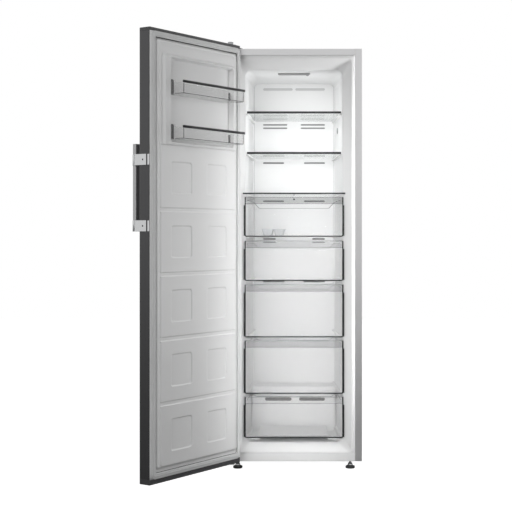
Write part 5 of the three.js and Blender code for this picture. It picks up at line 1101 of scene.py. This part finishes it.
class FREEZER_OT_drawers(bpy.types.Operator):
    """Builds the clear drawer fronts, their grip strips and dark edges of painted shade, and the boxes' top edges"""

    bl_idname = "freezer.drawers"
    bl_label = "Drawer fronts"

    def execute(self, context):
        s = context.scene.freezer_drawers
        y = FRONT + 0.022
        for i in range(1, 6):
            low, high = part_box(f"drawer_front_{i}")
            bottom = 0.098 if i == 5 else low[2]
            self.pane(s, i, bottom, high[2], y)
            self.edge(s, i, bottom, high[2], y)
            if i == 5:
                self.pad(bottom, y)
            self.brim(s, i)
        return {"FINISHED"}

    def brim(self, s, i):
        """The box's top edge: a small square carried back along one side, round the sloping rear and forward."""
        low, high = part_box(f"drawer_box_{i}")
        start, bend, rear = low[1] + 0.001, high[1] - s.rear_slope, high[1] - 0.0008
        wide, corner = 0.2055, 0.0235
        side = wide - 0.047 * (bend - low[1])
        path = soften([(-wide, start), (-side, bend), (-side + corner, rear), (side - corner, rear), (side, bend),
                       (wide, start)], 0.008, 4)
        drop = s.rear_drop * np.clip((path[:, 1] - bend) / s.rear_slope, 0, 1)
        path = np.column_stack([path, high[2] + 0.0004 - drop])
        e = s.brim / 2
        flat_piece(f"drawer_brim_{i}", f"drawer_{i}", "clear_line", "clear_plastic",
                   carry(oblong(-e, e, -e, e), path, UP))

    def pane(self, s, i, bottom, top, y):
        """A clear sheet: an upright profile whose top steps forward, carried across. Its top strip is darker."""
        t, low, split = s.pane, bottom + s.edge, top - s.grip
        front = y - s.grip_step
        profile = rounded([
            (y + t, low), (y + t, top), (front, top), (front, top - 0.006), (y, split), (y, low),
        ], (0, 0.001, 0.0012, 0.002, 0.002, 0.001, 0), 4)
        half, inset = s.half_width - s.edge, 0.0006
        made = Skin().bar(prism(profile, (-half, -half + inset, half - inset, half), 0)).piece(
            f"drawer_pane_{i}", f"drawer_{i}", "clear_pane" if i > 1 else "clear_wall", "clear_plastic",
            (f"drawer_front_{i}",), sharp=40)
        # The highest drawer's strip takes the darker finish, a painted reflection.
        strip = {1: "clear_grip_painted_reflection", 5: "clear_wall"}.get(i, "clear_grip")
        made.data.materials.append(bpy.data.materials[strip])
        centre = np.empty(len(made.data.polygons) * 3)
        made.data.polygons.foreach_get("center", centre)
        in_strip = (centre[2::3] > split + 0.001).astype(np.int32)
        made.data.polygons.foreach_set("material_index", in_strip)

    def edge(self, s, i, bottom, top, y):
        """The front's thick rim and thin lines at the top and under the grip, painted dark for the refraction in its
        thick clear edges, and a dark strip beyond each side, painted shade of the gap beside the front.

        The rim is a rounded bar carried down one side, along the bottom and up the other; the rest are prisms.
        """
        e, t, swell, line = s.edge / 2, s.pane / 2, 0.0008, 0.0006
        half, start, foot = s.half_width - e, top - 0.001, bottom + e
        path = soften([(-half, start), (-half, foot), (half, foot), (half, start)], s.corner, s.front_steps)
        section = rounded(oblong(-e, e, -t - swell, t + swell), 0.001, 3)
        skin = Skin().bar(carry(section, lift(path, y + t - swell, 1), FORWARD))
        # Dark strips just beyond each side of the front: painted shade of the gap beside it.
        gap_shade = oblong(-0.0018, 0.0018, 0.0, 0.005)
        for side in (-1, 1):
            place = (side * (s.half_width + 0.0019), y - 0.001)
            skin.bar(prism(gap_shade + place, (bottom + 0.004, top - 0.036), 2))
        thin = oblong(-line, line, 0.0, 2 * line)[:, ::-1]
        for level, wide, face in ((top - 0.0009, half, y - s.grip_step), (top - s.grip, half - 0.003, y)):
            skin.bar(prism(thin + (face - line, level), (-wide, wide), 0))
        skin.piece(f"drawer_rim_{i}", f"drawer_{i}", "clear_edge_painted_shade", "clear_plastic", sharp=40)

    def pad(self, bottom, y):
        """The lowest drawer's raised floor and the two tabs under its front: prisms across the drawer."""
        floor = rounded([(-0.236, 0.0), (-0.232, 0.005), (0.014, 0.005), (0.018, 0.0)], 0.0015, 3)
        tab = oblong(0.0005, 0.0045, -0.0050, -0.0004) + (y, bottom)
        flat_piece("drawer_pad_5", "drawer_5", "white_liner", "clear_plastic",
                   prism(floor + (0, bottom + 0.0032), (-0.157, 0.150), 0),
                   prism(tab, (-0.194, -0.150), 0), prism(tab, (0.150, 0.194), 0))


# ------------------------ panel and start

GROUPS = (
    ("freezer_cabinet", CabinetSizes, "Cabinet"),
    ("freezer_door", DoorSizes, "Door"),
    ("freezer_drawers", DrawerSizes, "Drawers"),
    ("freezer_colours", FinishColours, "Finishes"),
    ("freezer_studio", StudioSettings, "Studio"),
)
OPERATORS = (
    FREEZER_OT_finishes,
    FREEZER_OT_stage,
    FREEZER_OT_liner,
    FREEZER_OT_casing,
    FREEZER_OT_lamp,
    FREEZER_OT_feet,
    FREEZER_OT_door_liner,
    FREEZER_OT_door_shell,
    FREEZER_OT_door_bins,
    FREEZER_OT_drawers,
)


class FREEZER_PT_panel(bpy.types.Panel):
    """Lists the freezer's sizes, colours and building steps"""

    bl_idname = "FREEZER_PT_panel"
    bl_label = "Upright freezer"
    bl_space_type = "VIEW_3D"
    bl_region_type = "UI"
    bl_category = "Freezer"

    def draw(self, context):
        for attribute, kind, title in GROUPS:
            box = self.layout.box()
            box.label(text=title)
            values = getattr(context.scene, attribute)
            for name in kind.__annotations__:
                box.prop(values, name)
        for operator in OPERATORS:
            self.layout.operator(operator.bl_idname)


def register():
    for attribute, kind, _ in GROUPS:
        bpy.utils.register_class(kind)
        setattr(bpy.types.Scene, attribute, PointerProperty(type=kind))
    for operator in OPERATORS:
        bpy.utils.register_class(operator)
    bpy.utils.register_class(FREEZER_PT_panel)


def unregister():
    bpy.utils.unregister_class(FREEZER_PT_panel)
    for operator in reversed(OPERATORS):
        bpy.utils.unregister_class(operator)
    for attribute, kind, _ in reversed(GROUPS):
        delattr(bpy.types.Scene, attribute)
        bpy.utils.unregister_class(kind)


def main():
    """Registers the add-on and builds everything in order."""
    register()
    bpy.ops.freezer.finishes()
    bpy.ops.freezer.stage()
    bpy.ops.freezer.liner()
    bpy.ops.freezer.casing()
    bpy.ops.freezer.lamp()
    bpy.ops.freezer.feet()
    bpy.ops.freezer.door_liner()
    bpy.ops.freezer.door_shell()
    bpy.ops.freezer.door_bins()
    bpy.ops.freezer.drawers()
    bpy.context.view_layer.update()


if __name__ == "__main__":
    main()
